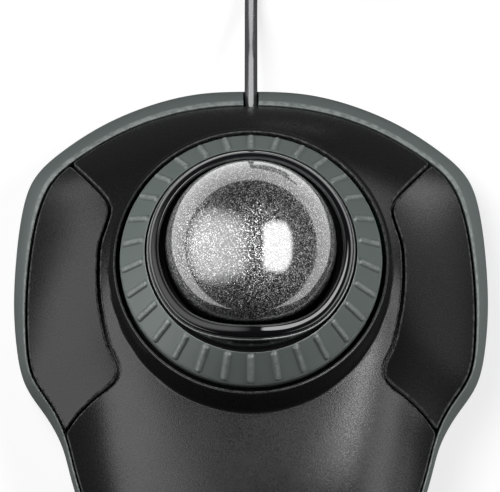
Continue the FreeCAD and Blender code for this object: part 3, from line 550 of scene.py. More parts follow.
def noise(tree, size, detail=3.0, roughness=0.5):
    """Noise in the object's own space whose lumps are about size metres across."""
    place = add(tree, "ShaderNodeTexCoord").outputs["Object"]
    texture = add(tree, "ShaderNodeTexNoise")
    feed_all(texture, Vector=place, Scale=1.0 / size, Detail=detail, Roughness=roughness)
    return texture.outputs["Fac"]


def remap(tree, value, source, result):
    """value with the range source stretched to the range result."""
    node = add(tree, "ShaderNodeMapRange")
    feed_all(node, Value=value, From_Min=source[0], From_Max=source[1], To_Min=result[0], To_Max=result[1])
    return node.outputs["Result"]


def blend_colours(tree, factor, a, b):
    """From a, where factor is 0, to b, where it is 1."""
    a, b = ((*colour, 1) if isinstance(colour, tuple) else colour for colour in (a, b))
    node = add(tree, "ShaderNodeMix", data_type="RGBA")
    feed_all(node, Factor=factor, A=a, B=b)
    return node.outputs["Result"]


def combine(tree, operation, a, b):
    node = add(tree, "ShaderNodeMath", operation=operation)
    feed(node.inputs[0], a)
    feed(node.inputs[1], b)
    return node.outputs["Value"]


def combine_vectors(tree, operation, a, b=(0, 0, 0)):
    node = add(tree, "ShaderNodeVectorMath", operation=operation)
    feed(node.inputs[0], a)
    feed(node.inputs[1], b)
    return node.outputs["Value" if operation == "DOT_PRODUCT" else "Vector"]


def bump(tree, height, distance):
    """A shading normal from a height that varies over distance metres."""
    node = add(tree, "ShaderNodeBump")
    feed_all(node, Height=height, Distance=distance)
    return node.outputs["Normal"]


# ---- materials

FLAKE_SIZE = 0.15 * MM
FLAKE_TILT = 0.6
GLINT_RARITY = 6.5
SEAT_SHADE_REACH = 9 * MM


def moulded(name, colour, rough, grain=0.22, depth=0.012, sheen_and_worn=None, coat=0.0):
    """Moulded plastic: fine grain, faint cloudiness, and slightly polished edges painted lighter, mostly
    as a highlight and partly as rubbing.

    grain and depth are the width and height of the grain's lumps in millimetres.
    """
    material, tree, shader = nodes_of(name)
    cloud = noise(tree, 9 * MM, 4.0)
    fine = noise(tree, grain * MM, 2.0, 0.6)
    wear_and_sheen = add(tree, "ShaderNodeAttribute", attribute_name="wear_and_sheen").outputs["Fac"]
    patches = remap(tree, noise(tree, 1.2 * MM), NOISE_MIDDLE, (0.2, 1.0))
    # The edge mask is mostly a painted highlight line and partly rubbing in patches.
    rubbed_and_sheen = combine(tree, "MULTIPLY", wear_and_sheen, patches)
    tint = blend_colours(tree, cloud, tuple(c * 0.93 for c in colour), colour)
    sheen_and_worn = sheen_and_worn or tuple(min(c * 1.8 + 0.01, 1) for c in colour)
    edge = blend_colours(tree, combine(tree, "MULTIPLY", rubbed_and_sheen, 0.55), tint, sheen_and_worn)
    uneven = remap(tree, cloud, NOISE_SPREAD, (rough - 0.015, rough + 0.02))
    speck = remap(tree, fine, NOISE_MIDDLE, (-0.05, 0.05))
    polish = combine(tree, "MULTIPLY", rubbed_and_sheen, -0.12)
    total = combine(tree, "ADD", combine(tree, "ADD", uneven, speck), polish)
    grained = bump(tree, fine, depth * MM)
    feed_all(shader, Base_Color=edge, Roughness=total, Coat_Weight=coat, Normal=grained)
    return material


def piano_black(name):
    """Polished black plastic: faint smears, a little dust and a highlight painted along its moulded edges.
    """
    material, tree, shader = nodes_of(name)
    smear = noise(tree, 6 * MM, 5.0)
    wear_and_sheen = add(tree, "ShaderNodeAttribute", attribute_name="wear_and_sheen").outputs["Fac"]
    # Painted highlight: the marked edges are painted light grey, varied by the smears.
    painted_shine = combine(tree, "MULTIPLY", wear_and_sheen, remap(tree, smear, NOISE_SPREAD, (0.5, 0.9)))
    black = blend_colours(tree, smear, (0.003, 0.003, 0.004), (0.007, 0.007, 0.008))
    edge = blend_colours(tree, painted_shine, black, (0.30, 0.31, 0.31))
    dust = remap(tree, noise(tree, 0.5 * MM), (0.55, 0.8), (0.0, 0.05))
    rough = combine(tree, "ADD", remap(tree, smear, NOISE_SPREAD, (0.02, 0.06)), dust)
    waves = bump(tree, noise(tree, 3 * MM, 2.0), 0.004 * MM)
    feed_all(shader, Base_Color=edge, Roughness=rough, Normal=waves)
    feed_all(shader, Coat_Weight=0.6, Coat_Roughness=0.03)
    return material


def metallic_flake(name):
    """The ball: silver-grey flakes of many brightnesses under a thick clear coat, with shade painted in
    near its seat.
    """
    material, tree, shader = nodes_of(name)
    place = add(tree, "ShaderNodeTexCoord").outputs["Object"]
    flakes = add(tree, "ShaderNodeTexVoronoi", feature="F1")
    feed_all(flakes, Vector=place, Scale=1.0 / FLAKE_SIZE)
    split = add(tree, "ShaderNodeSeparateColor")
    feed_all(split, Color=flakes.outputs["Color"])
    glint = combine(tree, "POWER", split.outputs["Red"], GLINT_RARITY)
    tint = blend_colours(tree, glint, (0.025, 0.025, 0.026), (1.0, 1.0, 1.0))
    # Painted shade: the flakes turn nearly black where the bezel and cover close in round the ball.
    seat = add(tree, "ShaderNodeAmbientOcclusion", samples=8)
    feed_all(seat, Distance=SEAT_SHADE_REACH)
    in_the_open = remap(tree, seat.outputs["AO"], (0.58, 0.97), (0.0, 1.0))
    shade = blend_colours(tree, in_the_open, (0.004, 0.004, 0.004), tint)
    rough = remap(tree, split.outputs["Green"], (0.0, 1.0), (0.36, 0.55))
    tilt = combine_vectors(tree, "SUBTRACT", flakes.outputs["Color"], (0.5, 0.5, 0.5))
    tilt = combine_vectors(tree, "MULTIPLY", tilt, (FLAKE_TILT,) * 3)
    surface = add(tree, "ShaderNodeNewGeometry").outputs["Normal"]
    tilted = combine_vectors(tree, "NORMALIZE", combine_vectors(tree, "ADD", surface, tilt))
    feed_all(shader, Base_Color=shade, Metallic=1.0, Roughness=rough, Normal=tilted)
    feed_all(shader, Coat_Weight=1.0, Coat_Roughness=0.09, Coat_IOR=2.1)
    return material


def metal(name, colour, rough, grain):
    material, tree, shader = nodes_of(name)
    fine = noise(tree, grain * MM)
    tint = blend_colours(tree, fine, tuple(c * 0.8 for c in colour), colour)
    uneven = remap(tree, fine, NOISE_SPREAD, (rough - 0.08, rough + 0.1))
    grained = bump(tree, fine, 0.003 * MM)
    feed_all(shader, Base_Color=tint, Metallic=1.0, Roughness=uneven, Normal=grained)
    return material


# The worn colours paint the marked edges lighter, mostly as a highlight and partly as wear.
PLASTICS = {
    "cover_plastic": dict(
        colour=(0.0070, 0.0070, 0.0074), rough=0.28, grain=0.34, depth=0.030, sheen_and_worn=(0.24, 0.24, 0.25),
    ),
    "rim_plastic": dict(colour=(0.066, 0.078, 0.075), rough=0.40, sheen_and_worn=(0.24, 0.26, 0.25)),
    "ring_rubber": dict(
        colour=(0.084, 0.100, 0.095), rough=0.36, grain=0.3, depth=0.006, sheen_and_worn=(0.28, 0.30, 0.29),
    ),
    "ball_core": dict(colour=(0.2, 0.2, 0.21), rough=0.5),
    "inner_plastic": dict(colour=(0.012, 0.012, 0.013), rough=0.6),
    "bearing_ceramic": dict(colour=(0.8, 0.8, 0.77), rough=0.12, depth=0.0005),
    "switch_plastic": dict(colour=(0.03, 0.03, 0.033), rough=0.45),
    "plunger_plastic": dict(colour=(0.75, 0.75, 0.72), rough=0.4),
    "circuit_board": dict(colour=(0.02, 0.12, 0.05), rough=0.35),
    "chip_black": dict(colour=(0.02, 0.02, 0.02), rough=0.55),
    "lens_clear": dict(colour=(0.7, 0.74, 0.76), rough=0.1, depth=0.0005),
    "connector_white": dict(colour=(0.7, 0.69, 0.64), rough=0.4),
    "cable_jacket": dict(colour=(0.045, 0.045, 0.048), rough=0.22, grain=0.4, depth=0.003, coat=0.4),
    "plug_plastic": dict(colour=(0.022, 0.022, 0.024), rough=0.42),
    "foot_rubber": dict(colour=(0.03, 0.03, 0.03), rough=0.72, grain=0.35),
    "label_silver": dict(colour=(0.55, 0.56, 0.57), rough=0.38, grain=0.3, depth=0.002),
}
METALS = {
    "plug_metal": dict(colour=(0.66, 0.65, 0.63), rough=0.28, grain=0.4),
    "steel": dict(colour=(0.55, 0.55, 0.56), rough=0.35, grain=0.3),
}
MATERIALS = {name: moulded(name, **look) for name, look in PLASTICS.items()}
MATERIALS |= {name: metal(name, **look) for name, look in METALS.items()}
MATERIALS["gloss_black"] = piano_black("gloss_black")
MATERIALS["ball_metallic"] = metallic_flake("ball_metallic")


def finish_with(piece, slot_name):
    piece.data.materials.clear()
    piece.data.materials.append(MATERIALS[slot_name])


SLOT_OF = {sub["node"]: sub["material_slot"] for sub in frame["record"]["subparts"]}
for node_name, cad_piece in frame["nodes"].items():
    finish_with(cad_piece, SLOT_OF[node_name])


def stands_for(piece, body, *nodes):
    """piece takes the place of CAD nodes of one body, and the first one's finish."""
    finish_with(piece, SLOT_OF[nodes[0]])
    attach(piece, body)
    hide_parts(*nodes)
    return piece


# ---- cover and buttons


def make_cover():
    """The cover round its opening, with the floor of each button's well."""
    axis = (0.0, BALL[1])
    opening = circle(OPENING_RADIUS, 0.5, axis)
    collar_radii = np.arange(OPENING_RADIUS + 1.1, FILLET_END_RADIUS, 0.45)
    collar = np.vstack([circle(radius, 0.9, axis) for radius in collar_radii])
    parts = [panel(
        cover_outline(), [opening], COVER_THICKNESS, COVER_ROUNDING, shell_height, shell_normals, collar,
        skirt=COVER_SKIRT,
    )]
    well = button_outline(SEAM_GAP / 2 + 0.05, BUTTON_GAP / 2 + 0.1)
    for loop in (well, mirrored(well)):
        parts.append(panel(
            loop, [], WELL_THICKNESS, 0.1, shell_height, shell_normals, spacing=2.5, drop=WELL_DEPTH,
        ))
    return new_mesh("cover", *joined(parts))


def make_button(name, loop):
    return new_mesh(name, *panel(loop, [], BUTTON_THICKNESS, BUTTON_ROUNDING, shell_height, shell_normals))


cover = stands_for(make_cover(), "root", "top_cover")
left_panel = stands_for(make_button("left_panel", mirrored(button_outline())), "left_key", "left_button")
right_panel = stands_for(make_button("right_panel", button_outline()), "right_key", "right_button")

# ---- base with its rim

NOTCH_HALF = 1.9
NOTCH_ZONE = 3.2
BACK_RIM_FROM = 50.0
SEAM_CREST = 13.6
CABLE_HEIGHT = 10.0
FLOOR_INSET = 5.0
FLOOR_TOP = 3.2
FLOOR_UNDER = 1.2
PLATE_THICKNESS = 2.0
SCREW_HOLE_RADIUS = 2.7
FOOT_HOLE_RADIUS = 6.1
LABEL_MARGIN = 0.4

# Profile of the rim: share of the way from the outer outline (0) to the seam (1), extra
# offset outwards, height, and whether the corner is crisp.
RIM_PROFILE = [
    (1, 0.20, 10.2, True), (1, 0.20, 13.55, True), (1, 0.26, 13.85, False), (1, 0.55, 14.0, False),
    (0.80, 0.10, 13.75, False), (0.55, 0.0, 12.85, False), (0.28, 0.0, 11.2, False),
    (0.08, 0.0, 9.2, False), (0.0, 0.0, 7.2, False), (0.0, 0.0, 4.9, False),
    (0.0, -0.25, 3.2, False), (0.0, -0.9, 1.9, False), (0.0, -2.0, 1.3, False),
    (0.0, -3.2, FLOOR_UNDER, True), (0.0, -FLOOR_INSET, FLOOR_UNDER, True),
    (0.0, -FLOOR_INSET, FLOOR_TOP, True), (1, -2.3, FLOOR_TOP, True), (1, -2.3, 9.4, True),
    (1, -0.3, 9.6, True),
]


def rim_parameters():
    """Parameters round the outline, closer together beside the cable notch."""
    even_steps = np.linspace(0, SEAM_KNOTS[-1], 901)[:-1]
    across = np.array([0.0, 0.5, 1.0, 1.4, 1.7, 1.85, 1.9, 1.93, 1.98, 2.1, 2.4, 2.8])
    near = np.concatenate([across, SEAM_KNOTS[-1] - across[1:]])
    far = even_steps[(even_steps > NOTCH_ZONE) & (even_steps < SEAM_KNOTS[-1] - NOTCH_ZONE)]
    return np.sort(np.concatenate([near, far]))


def dense_profile():
    """The rim's profile with its smooth stretches subdivided."""
    rows = []
    count = len(RIM_PROFILE)
    for i, (*a, crisp) in enumerate(RIM_PROFILE):
        *b, next_crisp = RIM_PROFILE[(i + 1) % count]
        rows.append(a)
        if crisp and next_crisp:
            continue
        before = a if crisp else RIM_PROFILE[i - 1][:3]
        after = b if next_crisp else RIM_PROFILE[(i + 2) % count][:3]
        corners = [np.array(corner, float) for corner in (before, a, b, after)]
        rows += [between(*corners, share) for share in (0.25, 0.5, 0.75)]
    return rows


def notch_floor(x):
    """Height of the round notch for the cable, and far up beside it."""
    in_notch = np.abs(x) <= NOTCH_HALF
    return np.where(in_notch, CABLE_HEIGHT - np.sqrt(np.maximum(NOTCH_HALF**2 - x**2, 0)), 99.0)


def islands(node):
    """Centres in plan of a CAD node's separate solids."""
    mesh = frame["nodes"][node].data
    spots = np.array([v.co for v in mesh.vertices])
    same = np.unique(spots.round(6), axis=0, return_inverse=True)[1].ravel()
    ends = same[np.array([tuple(edge.vertices) for edge in mesh.edges])].T
    group = np.arange(len(spots))
    while (group[ends[0]] != group[ends[1]]).any():
        for a, b in (ends, ends[::-1]):
            np.minimum.at(group, a, group[b])
    solids = [spots[group[same] == number, :2] for number in np.unique(group[same])]
    return sorted(tuple((solid.min(0) + solid.max(0)) / 2 / MM) for solid in solids)


def base_plate(outline):
    """Points and faces of the bottom, open at the screws, the feet and the label's recess."""
    screws = islands("case_screws") + islands("cup_screws")
    holes = [circle(SCREW_HOLE_RADIUS, 0.4, place) for place in screws]
    holes += [circle(FOOT_HOLE_RADIUS, 0.5, place) for place in islands("rubber_feet")]
    (x0, y0, _), (x1, y1, _) = (np.array(corner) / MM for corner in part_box("rating_label"))
    label = np.array([(x0, y0), (x1, y0), (x1, y1), (x0, y1)])
    holes.append(softened(label + np.sign(label - label.mean(0)) * LABEL_MARGIN, 0.5, 2))

    def level(plan):
        return np.zeros(len(plan))

    def straight_up(plan):
        return np.tile([0.0, 0.0, 1.0], (len(plan), 1))

    points, faces, _, _ = panel(outline, holes, PLATE_THICKNESS, 0.05, level, straight_up, spacing=6.0)
    return points * [1, 1, -1] + [0, 0, CASE_BOTTOM], [face[::-1] for face in faces]


def make_base():
    """The lower case: its rim, swept clockwise round the outline, and the bottom plate."""
    steps = rim_parameters()
    seam = closed_spline(SEAM, SEAM_KNOTS, steps)
    outer = closed_spline(whole(BASE_HALF), SEAM_KNOTS, steps)
    out = -outward(seam)
    rows, wear_and_sheen = [], []
    for share, offset, height in dense_profile():
        plan = outer + (seam - outer) * share + out * offset
        notched = np.minimum(height, np.maximum(notch_floor(plan[:, 0]), FLOOR_TOP))
        z = np.where((plan[:, 1] > BACK_RIM_FROM) & (height > FLOOR_TOP), notched, height)
        rows.append(np.column_stack([plan, z]))
        # The seam's crest is painted lighter, as a highlight line and as wear.
        at_seam = share > 0.75 and height > SEAM_CREST
        wear_and_sheen.append(np.full(len(plan), float(at_seam)))
    faces = grid_faces(len(rows), len(steps), wrap_rows=True)
    plate_outline = softened(counter_clockwise(outer + out * -FLOOR_INSET), 1.0, 1)
    plate_points, plate_faces = base_plate(plate_outline)
    start = len(rows) * len(steps)
    faces += [tuple(v + start for v in face) for face in plate_faces]
    wear_and_sheen.append(np.zeros(len(plate_points)))
    piece = new_mesh("base", np.vstack(rows + [plate_points]), faces, wear_and_sheen=np.concatenate(wear_and_sheen))
    sharpen(piece, 50)
    return piece


base = stands_for(make_base(), "root", "base_shell")

# ---- feet

# Radius and height, from the middle of the face round to the middle of the back.
FOOT_PROFILE = [
    (0.01, 0.25), (3.6, 0.25), (3.9, 0.12), (4.2, 0.0), (5.3, 0.0), (5.7, 0.08), (5.93, 0.3), (6.0, 0.6),
    (6.0, 1.6), (0.01, 1.6),
]
FOOT_SIDES = 72


def make_feet():
    """Four rubber feet with rounded edges and a shallow ring moulded into each face."""
    angles = np.linspace(0, math.tau, FOOT_SIDES, endpoint=False)
    points, faces = [], []
    for x, y in islands("rubber_feet"):
        start = len(points) * FOOT_SIDES
        for r, z in FOOT_PROFILE:
            height = np.full(FOOT_SIDES, z)
            points.append(np.column_stack([x + r * np.cos(angles), y + r * np.sin(angles), height]))
        faces += grid_faces(len(FOOT_PROFILE), FOOT_SIDES, start=start)
        face_ring = tuple(range(start, start + FOOT_SIDES))
        last = start + (len(FOOT_PROFILE) - 1) * FOOT_SIDES
        back_ring = tuple(range(last + FOOT_SIDES - 1, last - 1, -1))
        faces += [face_ring, back_ring]
    piece = new_mesh("feet", np.vstack(points), faces)
    sharpen(piece, 50)
    return piece


stands_for(make_feet(), "root", "rubber_feet")

# ---- scroll ring

RING_BORE = 24.8
RING_SHOULDER = 27.6
RIB_COUNT = 30
RIB_LENGTH = 8.3
RIB_RADIUS = 1.05
RIB_SINK = 0.50
RIB_FILLET = 0.08
FACE_ROWS = 58
# Places across a rib, closest where its sides are steepest.
ACROSS_RIB = np.array([0, 0.13, 0.27, 0.41, 0.54, 0.66, 0.76, 0.84, 0.90, 0.95, 1.06, 1.35])


def ring_directions(middle_radius):
    """Directions round the ring, and how far each is from the nearest rib's middle."""
    sector = math.tau / RIB_COUNT
    close = ACROSS_RIB / middle_radius
    flat = np.linspace(close[-1], sector - close[-1], 9)[1:-1]
    offsets = np.concatenate([-close[:0:-1], close, flat])
    directions = np.sort(np.concatenate([i * sector + offsets for i in range(RIB_COUNT)]))
    return directions, (directions + sector / 2) % sector - sector / 2


def rib_lift(off_middle, off_centre):
    """Height of a rib, a sunk capsule, across and along its middle line."""
    beyond = max(abs(off_centre) - (RIB_LENGTH / 2 - RIB_RADIUS), 0.0)
    distance = np.hypot(off_middle, beyond)
    raised = np.sqrt(np.maximum(RIB_RADIUS**2 - distance**2, 0)) - RIB_SINK
    lift = smooth_max(raised, np.zeros_like(raised), RIB_FILLET) - RIB_FILLET / 4 * (raised < -0.05)
    return np.maximum(lift, 0)


def make_ring():
    """The ring's section, turned round the ball's axis, with ribs across its sloping face."""
    low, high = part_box("scroll_ring")
    outer = (high.x - low.x) / 2 / MM
    top, bottom = high.z / MM, low.z / MM
    crest = np.array([RING_BORE, top])
    slope = np.array([outer - RING_BORE, RING_SHOULDER - top])
    face_length = np.linalg.norm(slope)
    along = slope / face_length
    upward = np.array([-along[1], along[0]])
    inner_edge = [(RING_BORE, top - 0.9), (RING_BORE + 0.02, top - 0.45), (RING_BORE + 0.1, top - 0.22)]
    travels = np.linspace(0.35, face_length - 0.55, FACE_ROWS)
    outer_edge = [
        (outer - 0.24, RING_SHOULDER + 0.12), (outer - 0.1, RING_SHOULDER - 0.18),
        (outer, RING_SHOULDER - 0.65), (outer, bottom + 0.5), (outer - 0.15, bottom + 0.15),
        (outer - 0.5, bottom), (outer - 1.6, bottom), (outer - 1.6, bottom + 2.3),
        (RING_BORE + 0.7, top - 3.0), (RING_BORE, top - 3.0), (RING_BORE, top - 2.2),
    ]
    profile = inner_edge + [crest + along * travel for travel in travels] + outer_edge
    first, past = len(inner_edge), len(inner_edge) + FACE_ROWS
    directions, off_rib = ring_directions((RING_BORE + outer) / 2)
    rows, wear_and_sheen = [], []
    for i, point in enumerate(profile):
        lift = np.zeros(len(directions))
        if first <= i < past:
            lift = rib_lift(off_rib * point[0], travels[i - first] - face_length / 2)
        radius = point[0] + upward[0] * lift
        z = point[1] + upward[1] * lift
        rows.append(round_ball(radius, z, directions))
        # The rib tops and the face's two edges are painted lighter, as a highlight and as wear.
        edge = float(i in (first - 1, past))
        wear_and_sheen.append(np.maximum(np.clip(lift / (RIB_RADIUS - RIB_SINK), 0, 1) ** 3, edge))
    return swept("ribbed_ring", rows, wear_and_sheen, 60)


ring = stands_for(make_ring(), "scroll_wheel", "scroll_ring")

# ---- bezel

LIP_RISE = 3.8
LIP_LEAN = 1.2
LIP_HALF_ANGLE = 52.0
BEZEL_SIDES = 480

# Radius, height, share of the lip's lean and rise, and how much highlight is painted into its colour, up
# the outside and down the inside.
BEZEL_OUTSIDE = [
    (24.35, 33.05, 0.0, 0), (24.35, 33.9, 0.5, 0), (24.35, 34.5, 1.0, 0), (24.33, 34.72, 1.0, 0.6),
    (24.24, 34.84, 1.0, 1), (24.12, 34.88, 1.0, 0.3),
]
BEZEL_INSIDE = [
    (21.66, 37.52, 1.0, 0.2), (21.48, 37.34, 1.0, 0.6), (21.41, 37.05, 1.0, 0.2), (21.38, 36.5, 0.9, 0),
    (21.3, 35.2, 0.45, 0), (21.2, 33.05, 0.0, 0),
]


def bezel_crown():
    """The rounded top between the outside and the inside: part of an ellipse."""
    turns = np.radians(np.linspace(0, 96, 17))
    return [(22.15 + 1.87 * math.cos(t), 34.9 + 2.72 * math.sin(t), 1.0, 0) for t in turns]


def make_bezel():
    """A ring round the ball whose front rises and leans in as a lip."""
    directions = np.linspace(0, math.tau, BEZEL_SIDES, endpoint=False)
    off = np.abs(np.degrees(directions) - 180)
    share = np.where(off < LIP_HALF_ANGLE, 0.5 * (1 + np.cos(math.pi * off / LIP_HALF_ANGLE)), 0.0)
    rows, wear_and_sheen = [], []
    for radius, height, taken, painted_shine in BEZEL_OUTSIDE + bezel_crown() + BEZEL_INSIDE:
        reach = radius - LIP_LEAN * share * taken
        rows.append(round_ball(reach, height + LIP_RISE * share * taken, directions))
        wear_and_sheen.append(np.full(len(directions), float(painted_shine)))
    piece = swept("gloss_bezel", rows, wear_and_sheen, 70)
    rounder = piece.modifiers.new("rounder", "SUBSURF")
    rounder.levels = 1
    rounder.render_levels = 1
    return piece


bezel = stands_for(make_bezel(), "root", "cup_bezel")

# ---- ball

BALL_GRID = 56


def make_ball():
    """A sphere of even quads, so that its coat shades without poles."""
    steps = np.tan(np.linspace(-math.pi / 4, math.pi / 4, BALL_GRID + 1))
    u, v = np.meshgrid(steps, steps, indexing="ij")
    one = np.ones_like(u)
    points, faces = [], []
    for axis in range(3):
        for sign in (1, -1):
            side = [None, None, None]
            side[axis], side[(axis + 1) % 3], side[(axis + 2) % 3] = sign * one, u, v * sign
            cube = np.stack(side, -1).reshape(-1, 3)
            start = len(points) * (BALL_GRID + 1) ** 2
            faces += grid_faces(BALL_GRID + 1, BALL_GRID + 1, wrap_columns=False, start=start)
            points.append(cube / np.linalg.norm(cube, axis=1)[:, None] * BALL_RADIUS)
    piece = new_mesh("ball", np.vstack(points) + BALL, faces)
    weld(piece)
    return piece


def weld(piece):
    """Joins points that lie on each other."""
    work = bmesh.new()
    work.from_mesh(piece.data)
    bmesh.ops.remove_doubles(work, verts=work.verts, dist=1e-6)
    bmesh.ops.recalc_face_normals(work, faces=work.faces)
    work.to_mesh(piece.data)
    work.free()


ball = stands_for(make_ball(), "ball_outer", "ball_shell")

# ---- cable

CABLE_RADIUS = 1.6
LEAD_IN = [(0, 57.8, 10.0), (0, 69.8, 10.0), (0, 82.0, 5.4), (0, 94.5, 1.75), (0.3, 107.2, 1.62)]
COIL_CENTRE = centre_of("cable_coil")
TURN_POINTS = 16
PITCH = 3.26
COLUMNS = 4
OUTER_TURN = 22.9
FLOOR_TURN = 1.62
# Part of a turn after which it moves over to its neighbour's place.
SHIFT_BEGINS = 0.7


def coil_slots():
    """Radius and height of each turn: inwards along the floor, then up and down."""
    radii = [OUTER_TURN - PITCH * i for i in range(COLUMNS)]
    heights = [FLOOR_TURN + PITCH * i for i in range(COLUMNS)]
    slots = [(radius, heights[0]) for radius in radii]
    for column, radius in enumerate(reversed(radii)):
        rising = heights[1:] if column % 2 == 0 else heights[:0:-1]
        slots += [(radius, height) for height in rising]
    return slots


def cable_points():
    """The lead-in, the coil and the tail that runs to the plug."""
    slots = coil_slots()
    turns = len(slots) - 1 + 0.25
    points = []
    for i in range(int(turns * TURN_POINTS) + 1):
        turn, part = divmod(i, TURN_POINTS)
        now, then = slots[turn], slots[min(turn + 1, len(slots) - 1)]
        shift = min(max((part / TURN_POINTS - SHIFT_BEGINS) / (1 - SHIFT_BEGINS), 0.0), 1.0)
        radius = now[0] + (then[0] - now[0]) * shift
        height = now[1] + (then[1] - now[1]) * shift
        angle = math.pi - math.tau * i / TURN_POINTS
        across, back = radius * math.cos(angle), radius * math.sin(angle)
        points.append((COIL_CENTRE[0] + across, COIL_CENTRE[1] + back, height))
    end_y = COIL_CENTRE[1] + OUTER_TURN
    tail = [(31.0, end_y, 4.5), (37.0, end_y, 4.1), (44.0, end_y, 4.0)]
    return LEAD_IN + points + tail


def make_cable():
    route = cable_points()
    curve = bpy.data.curves.new("usb_lead", "CURVE")
    curve.dimensions = "3D"
    line = curve.splines.new("NURBS")
    line.points.add(len(route) - 1)
    for point, place in zip(line.points, route):
        point.co = (*(c * MM for c in place), 1.0)
    line.order_u = 3
    line.use_endpoint_u = True
    line.resolution_u = 6
    curve.bevel_depth = CABLE_RADIUS * MM
    curve.bevel_resolution = 6
    curve.use_fill_caps = True
    piece = bpy.data.objects.new("usb_lead", curve)
    scene.collection.objects.link(piece)
    return piece


cable = stands_for(make_cable(), "root", "usb_cable", "cable_coil", "cable_tail")

# ---- floor, lights and camera

# The view, the lamps and their aims are in metres; the floor and the card in millimetres.
ELEVATION = math.radians(72.2)
VIEW_BACK = Vector((0, -math.cos(ELEVATION), math.sin(ELEVATION)))
VIEW_DISTANCE = 0.600
TARGET = Vector(BALL * MM)
FLOOR_HALF = 1600.0
SURROUND_RADIUS = 1500.0
# A lamp's edge, as a share of its size from its middle.
EDGE = 0.5

# Where the lamps for single pieces point.
PALM_LEFT = Vector((-0.021, -0.026, 0.020))
PALM_RIGHT = Vector((0.025, -0.018, 0.020))
SIDE_LEFT = Vector((-0.034, -0.008, 0.021))
SIDE_RIGHT = Vector((0.034, -0.016, 0.020))
CABLE_AIM = Vector((0.0, 0.090, 0.004))

# Directions to the two large softboxes.
LEFT_BOX = (-0.743, -0.205, 0.637)
RIGHT_BOX = (0.58, -0.255, 0.765)


def make_floor():
    """A white floor that nothing mirrors."""
    corners = np.array([(-1, -1, 0), (1, -1, 0), (1, 1, 0), (-1, 1, 0)]) * FLOOR_HALF
    floor = new_mesh("floor", corners, [(0, 1, 2, 3)])
    material, _, shader = nodes_of("floor")
    feed_all(shader, Base_Color=(0.32, 0.32, 0.32, 1), Roughness=0.9)
    feed_all(shader, Emission_Color=(1, 1, 1, 1), Emission_Strength=0.62)
    floor.data.materials.append(material)
    floor.visible_glossy = False


def shine_only_on(lamp, receivers):
    if receivers:
        lit = bpy.data.collections.new(f"lit_by_{lamp.name}")
        for receiver in receivers:
            lit.objects.link(receiver)
        lamp.light_linking.receiver_collection = lit


def fade_edges(light, start):
    """Dims a light from start to its edges, both measured from its middle, with rounded corners."""
    light.use_nodes = True
    tree = light.node_tree
    across = add(tree, "ShaderNodeNewGeometry").outputs["Parametric"]
    off = combine_vectors(tree, "SUBTRACT", across, (EDGE, EDGE, 0.0))
    squared = combine_vectors(tree, "MULTIPLY", off, off)
    reach = combine(tree, "POWER", combine_vectors(tree, "DOT_PRODUCT", squared, squared), 0.25)
    feed_all(tree.nodes["Emission"], Strength=remap(tree, reach, (start, EDGE), (1.0, 0.0)))


def make_light(name, direction, size, radiance, on=(), distance=0.5, aim=TARGET, fade=EDGE, matt=False):
    """A rectangular soft light, level with the view, that falls on some pieces or on all.

    It shows as a reflection, or on matt surfaces instead.
    """
    light = bpy.data.lights.new(name, "AREA")
    light.shape = "RECTANGLE"
    light.size, light.size_y = size
    light.energy = radiance * math.pi * size[0] * size[1]
    lamp = bpy.data.objects.new(name, light)
    away = Vector(direction).normalized()
    across = (Vector((1, 0, 0)) - away * away.x).normalized()
    turn = Matrix((across, away.cross(across), away)).transposed()
    lamp.matrix_world = Matrix.Translation(aim + away * distance) @ turn.to_4x4()
    lamp.visible_camera = False
    lamp.visible_glossy = not matt
    lamp.visible_diffuse = matt
    scene.collection.objects.link(lamp)
    shine_only_on(lamp, on)
    if fade < EDGE:
        fade_edges(light, fade)


def make_lights():
    polished = [ball, cable, ring, base]
    make_light("left_softbox", LEFT_BOX, (1.15, 1.15), 2.9, polished, fade=0.22)
    make_light("right_softbox", RIGHT_BOX, (0.40, 0.68), 6.0, polished + [bezel], fade=0.38)
    make_light("bezel_left", LEFT_BOX, (1.15, 1.15), 1.3, [bezel], fade=0.16)
    make_light("button_left", (-0.75, -0.231, 0.62), (0.65, 0.95), 1.8, [left_panel])
    make_light("button_right", (0.70, 0.68, 0.22), (0.22, 0.22), 2.5, [right_panel])
    make_light("shoulder_right", (0.50, 0.54, 0.62), (0.25, 0.25), 1.6, [cover])
    make_light("button_right_front", (0.80, 0.25, 0.50), (0.40, 0.50), 0.45, [right_panel])
    make_light("side_left", (-0.34, 0.0, 0.93), (0.05, 0.12), 3.0, [cover], 0.12, SIDE_LEFT)
    make_light("side_right", (0.40, 0.0, 0.92), (0.04, 0.10), 3.0, [cover], 0.12, SIDE_RIGHT)
    make_light("button_left_back", (-0.70, 0.68, 0.22), (0.20, 0.20), 1.6, [left_panel])
    make_light("palm_left", (-0.10, 0.20, 0.98), (0.030, 0.10), 2.6, [cover], 0.09, PALM_LEFT)
    make_light("palm_right", (0.06, 0.19, 0.98), (0.014, 0.05), 12.0, [cover], 0.08, PALM_RIGHT)
    make_light("foot_glint", (0.62, -0.38, 0.68), (0.28, 0.18), 3.5, [cover])
    make_light("rim_right", (0.90, 0.05, 0.40), (0.30, 0.40), 3.0, [base], matt=True)
    make_light("left_fill", (-0.62, 0.25, 0.72), (0.60, 0.60), 5.5, distance=0.6, matt=True)
    make_light("right_fill", (0.84, 0.06, 0.54), (0.30, 0.40), 9.5, distance=0.6, matt=True)
    make_light("cable_sheen", (0.0, 0.306, 0.952), (0.50, 0.60), 6.5, [cable], 0.3, CABLE_AIM)


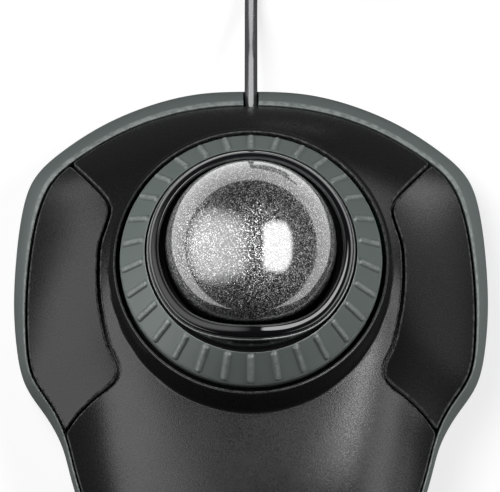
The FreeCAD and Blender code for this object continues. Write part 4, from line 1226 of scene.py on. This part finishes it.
def make_surround(receivers):
    """White card all round and below the object, which only the receivers mirror."""
    rows, count = 24, 72
    across = Vector((1, 0, 0))
    up = VIEW_BACK.cross(across)
    points = []
    for angle in np.linspace(math.radians(98.0), math.radians(179.0), rows):
        for turn in np.linspace(0, math.tau, count, endpoint=False):
            side = across * math.cos(turn) + up * math.sin(turn)
            away = np.array(VIEW_BACK * math.cos(angle) + side * math.sin(angle))
            points.append(BALL + away * SURROUND_RADIUS)
    card = new_mesh("surround", np.array(points), grid_faces(rows, count))
    material = bpy.data.materials.new("surround")
    material.use_nodes = True
    tree = material.node_tree
    tree.nodes.clear()
    glow = add(tree, "ShaderNodeEmission")
    feed_all(glow, Strength=1.5)
    both = add(tree, "ShaderNodeAddShader")
    feed(both.inputs[0], glow.outputs["Emission"])
    feed(both.inputs[1], add(tree, "ShaderNodeBsdfTransparent").outputs["BSDF"])
    feed_all(add(tree, "ShaderNodeOutputMaterial"), Surface=both.outputs["Shader"])
    card.data.materials.append(material)
    card.visible_camera = False
    card.visible_diffuse = False
    card.visible_shadow = False
    shine_only_on(card, receivers)


def make_world():
    """A dim room, a little brighter beyond the object, and white where the floor ends."""
    world = bpy.data.worlds.new("studio")
    world.use_nodes = True
    tree = world.node_tree
    place = add(tree, "ShaderNodeTexCoord").outputs["Generated"]
    towards_view = combine_vectors(tree, "DOT_PRODUCT", place, VIEW_BACK)
    dim = remap(tree, towards_view, (-0.30, -0.10), (0.07, 0.02))
    seen = add(tree, "ShaderNodeLightPath").outputs["Is Camera Ray"]
    chosen = add(tree, "ShaderNodeMix", data_type="FLOAT")
    feed_all(chosen, Factor=seen, A=dim, B=0.9)
    background = tree.nodes["Background"]
    feed_all(background, Color=(1, 1, 1, 1), Strength=chosen.outputs["Result"])
    world.cycles.sampling_method = "NONE"
    scene.world = world


def make_camera():
    data = bpy.data.cameras.new("camera")
    data.sensor_width = 36.0
    data.lens = 185.8
    data.shift_x = -0.002
    camera = bpy.data.objects.new("camera", data)
    camera.location = TARGET + VIEW_BACK * VIEW_DISTANCE
    camera.rotation_mode = "QUATERNION"
    camera.rotation_quaternion = (-VIEW_BACK).to_track_quat("-Z", "Y")
    scene.collection.objects.link(camera)
    scene.camera = camera


make_floor()
make_surround([ball, bezel])
make_lights()
make_world()
scene.view_settings.view_transform = "Standard"
make_camera()
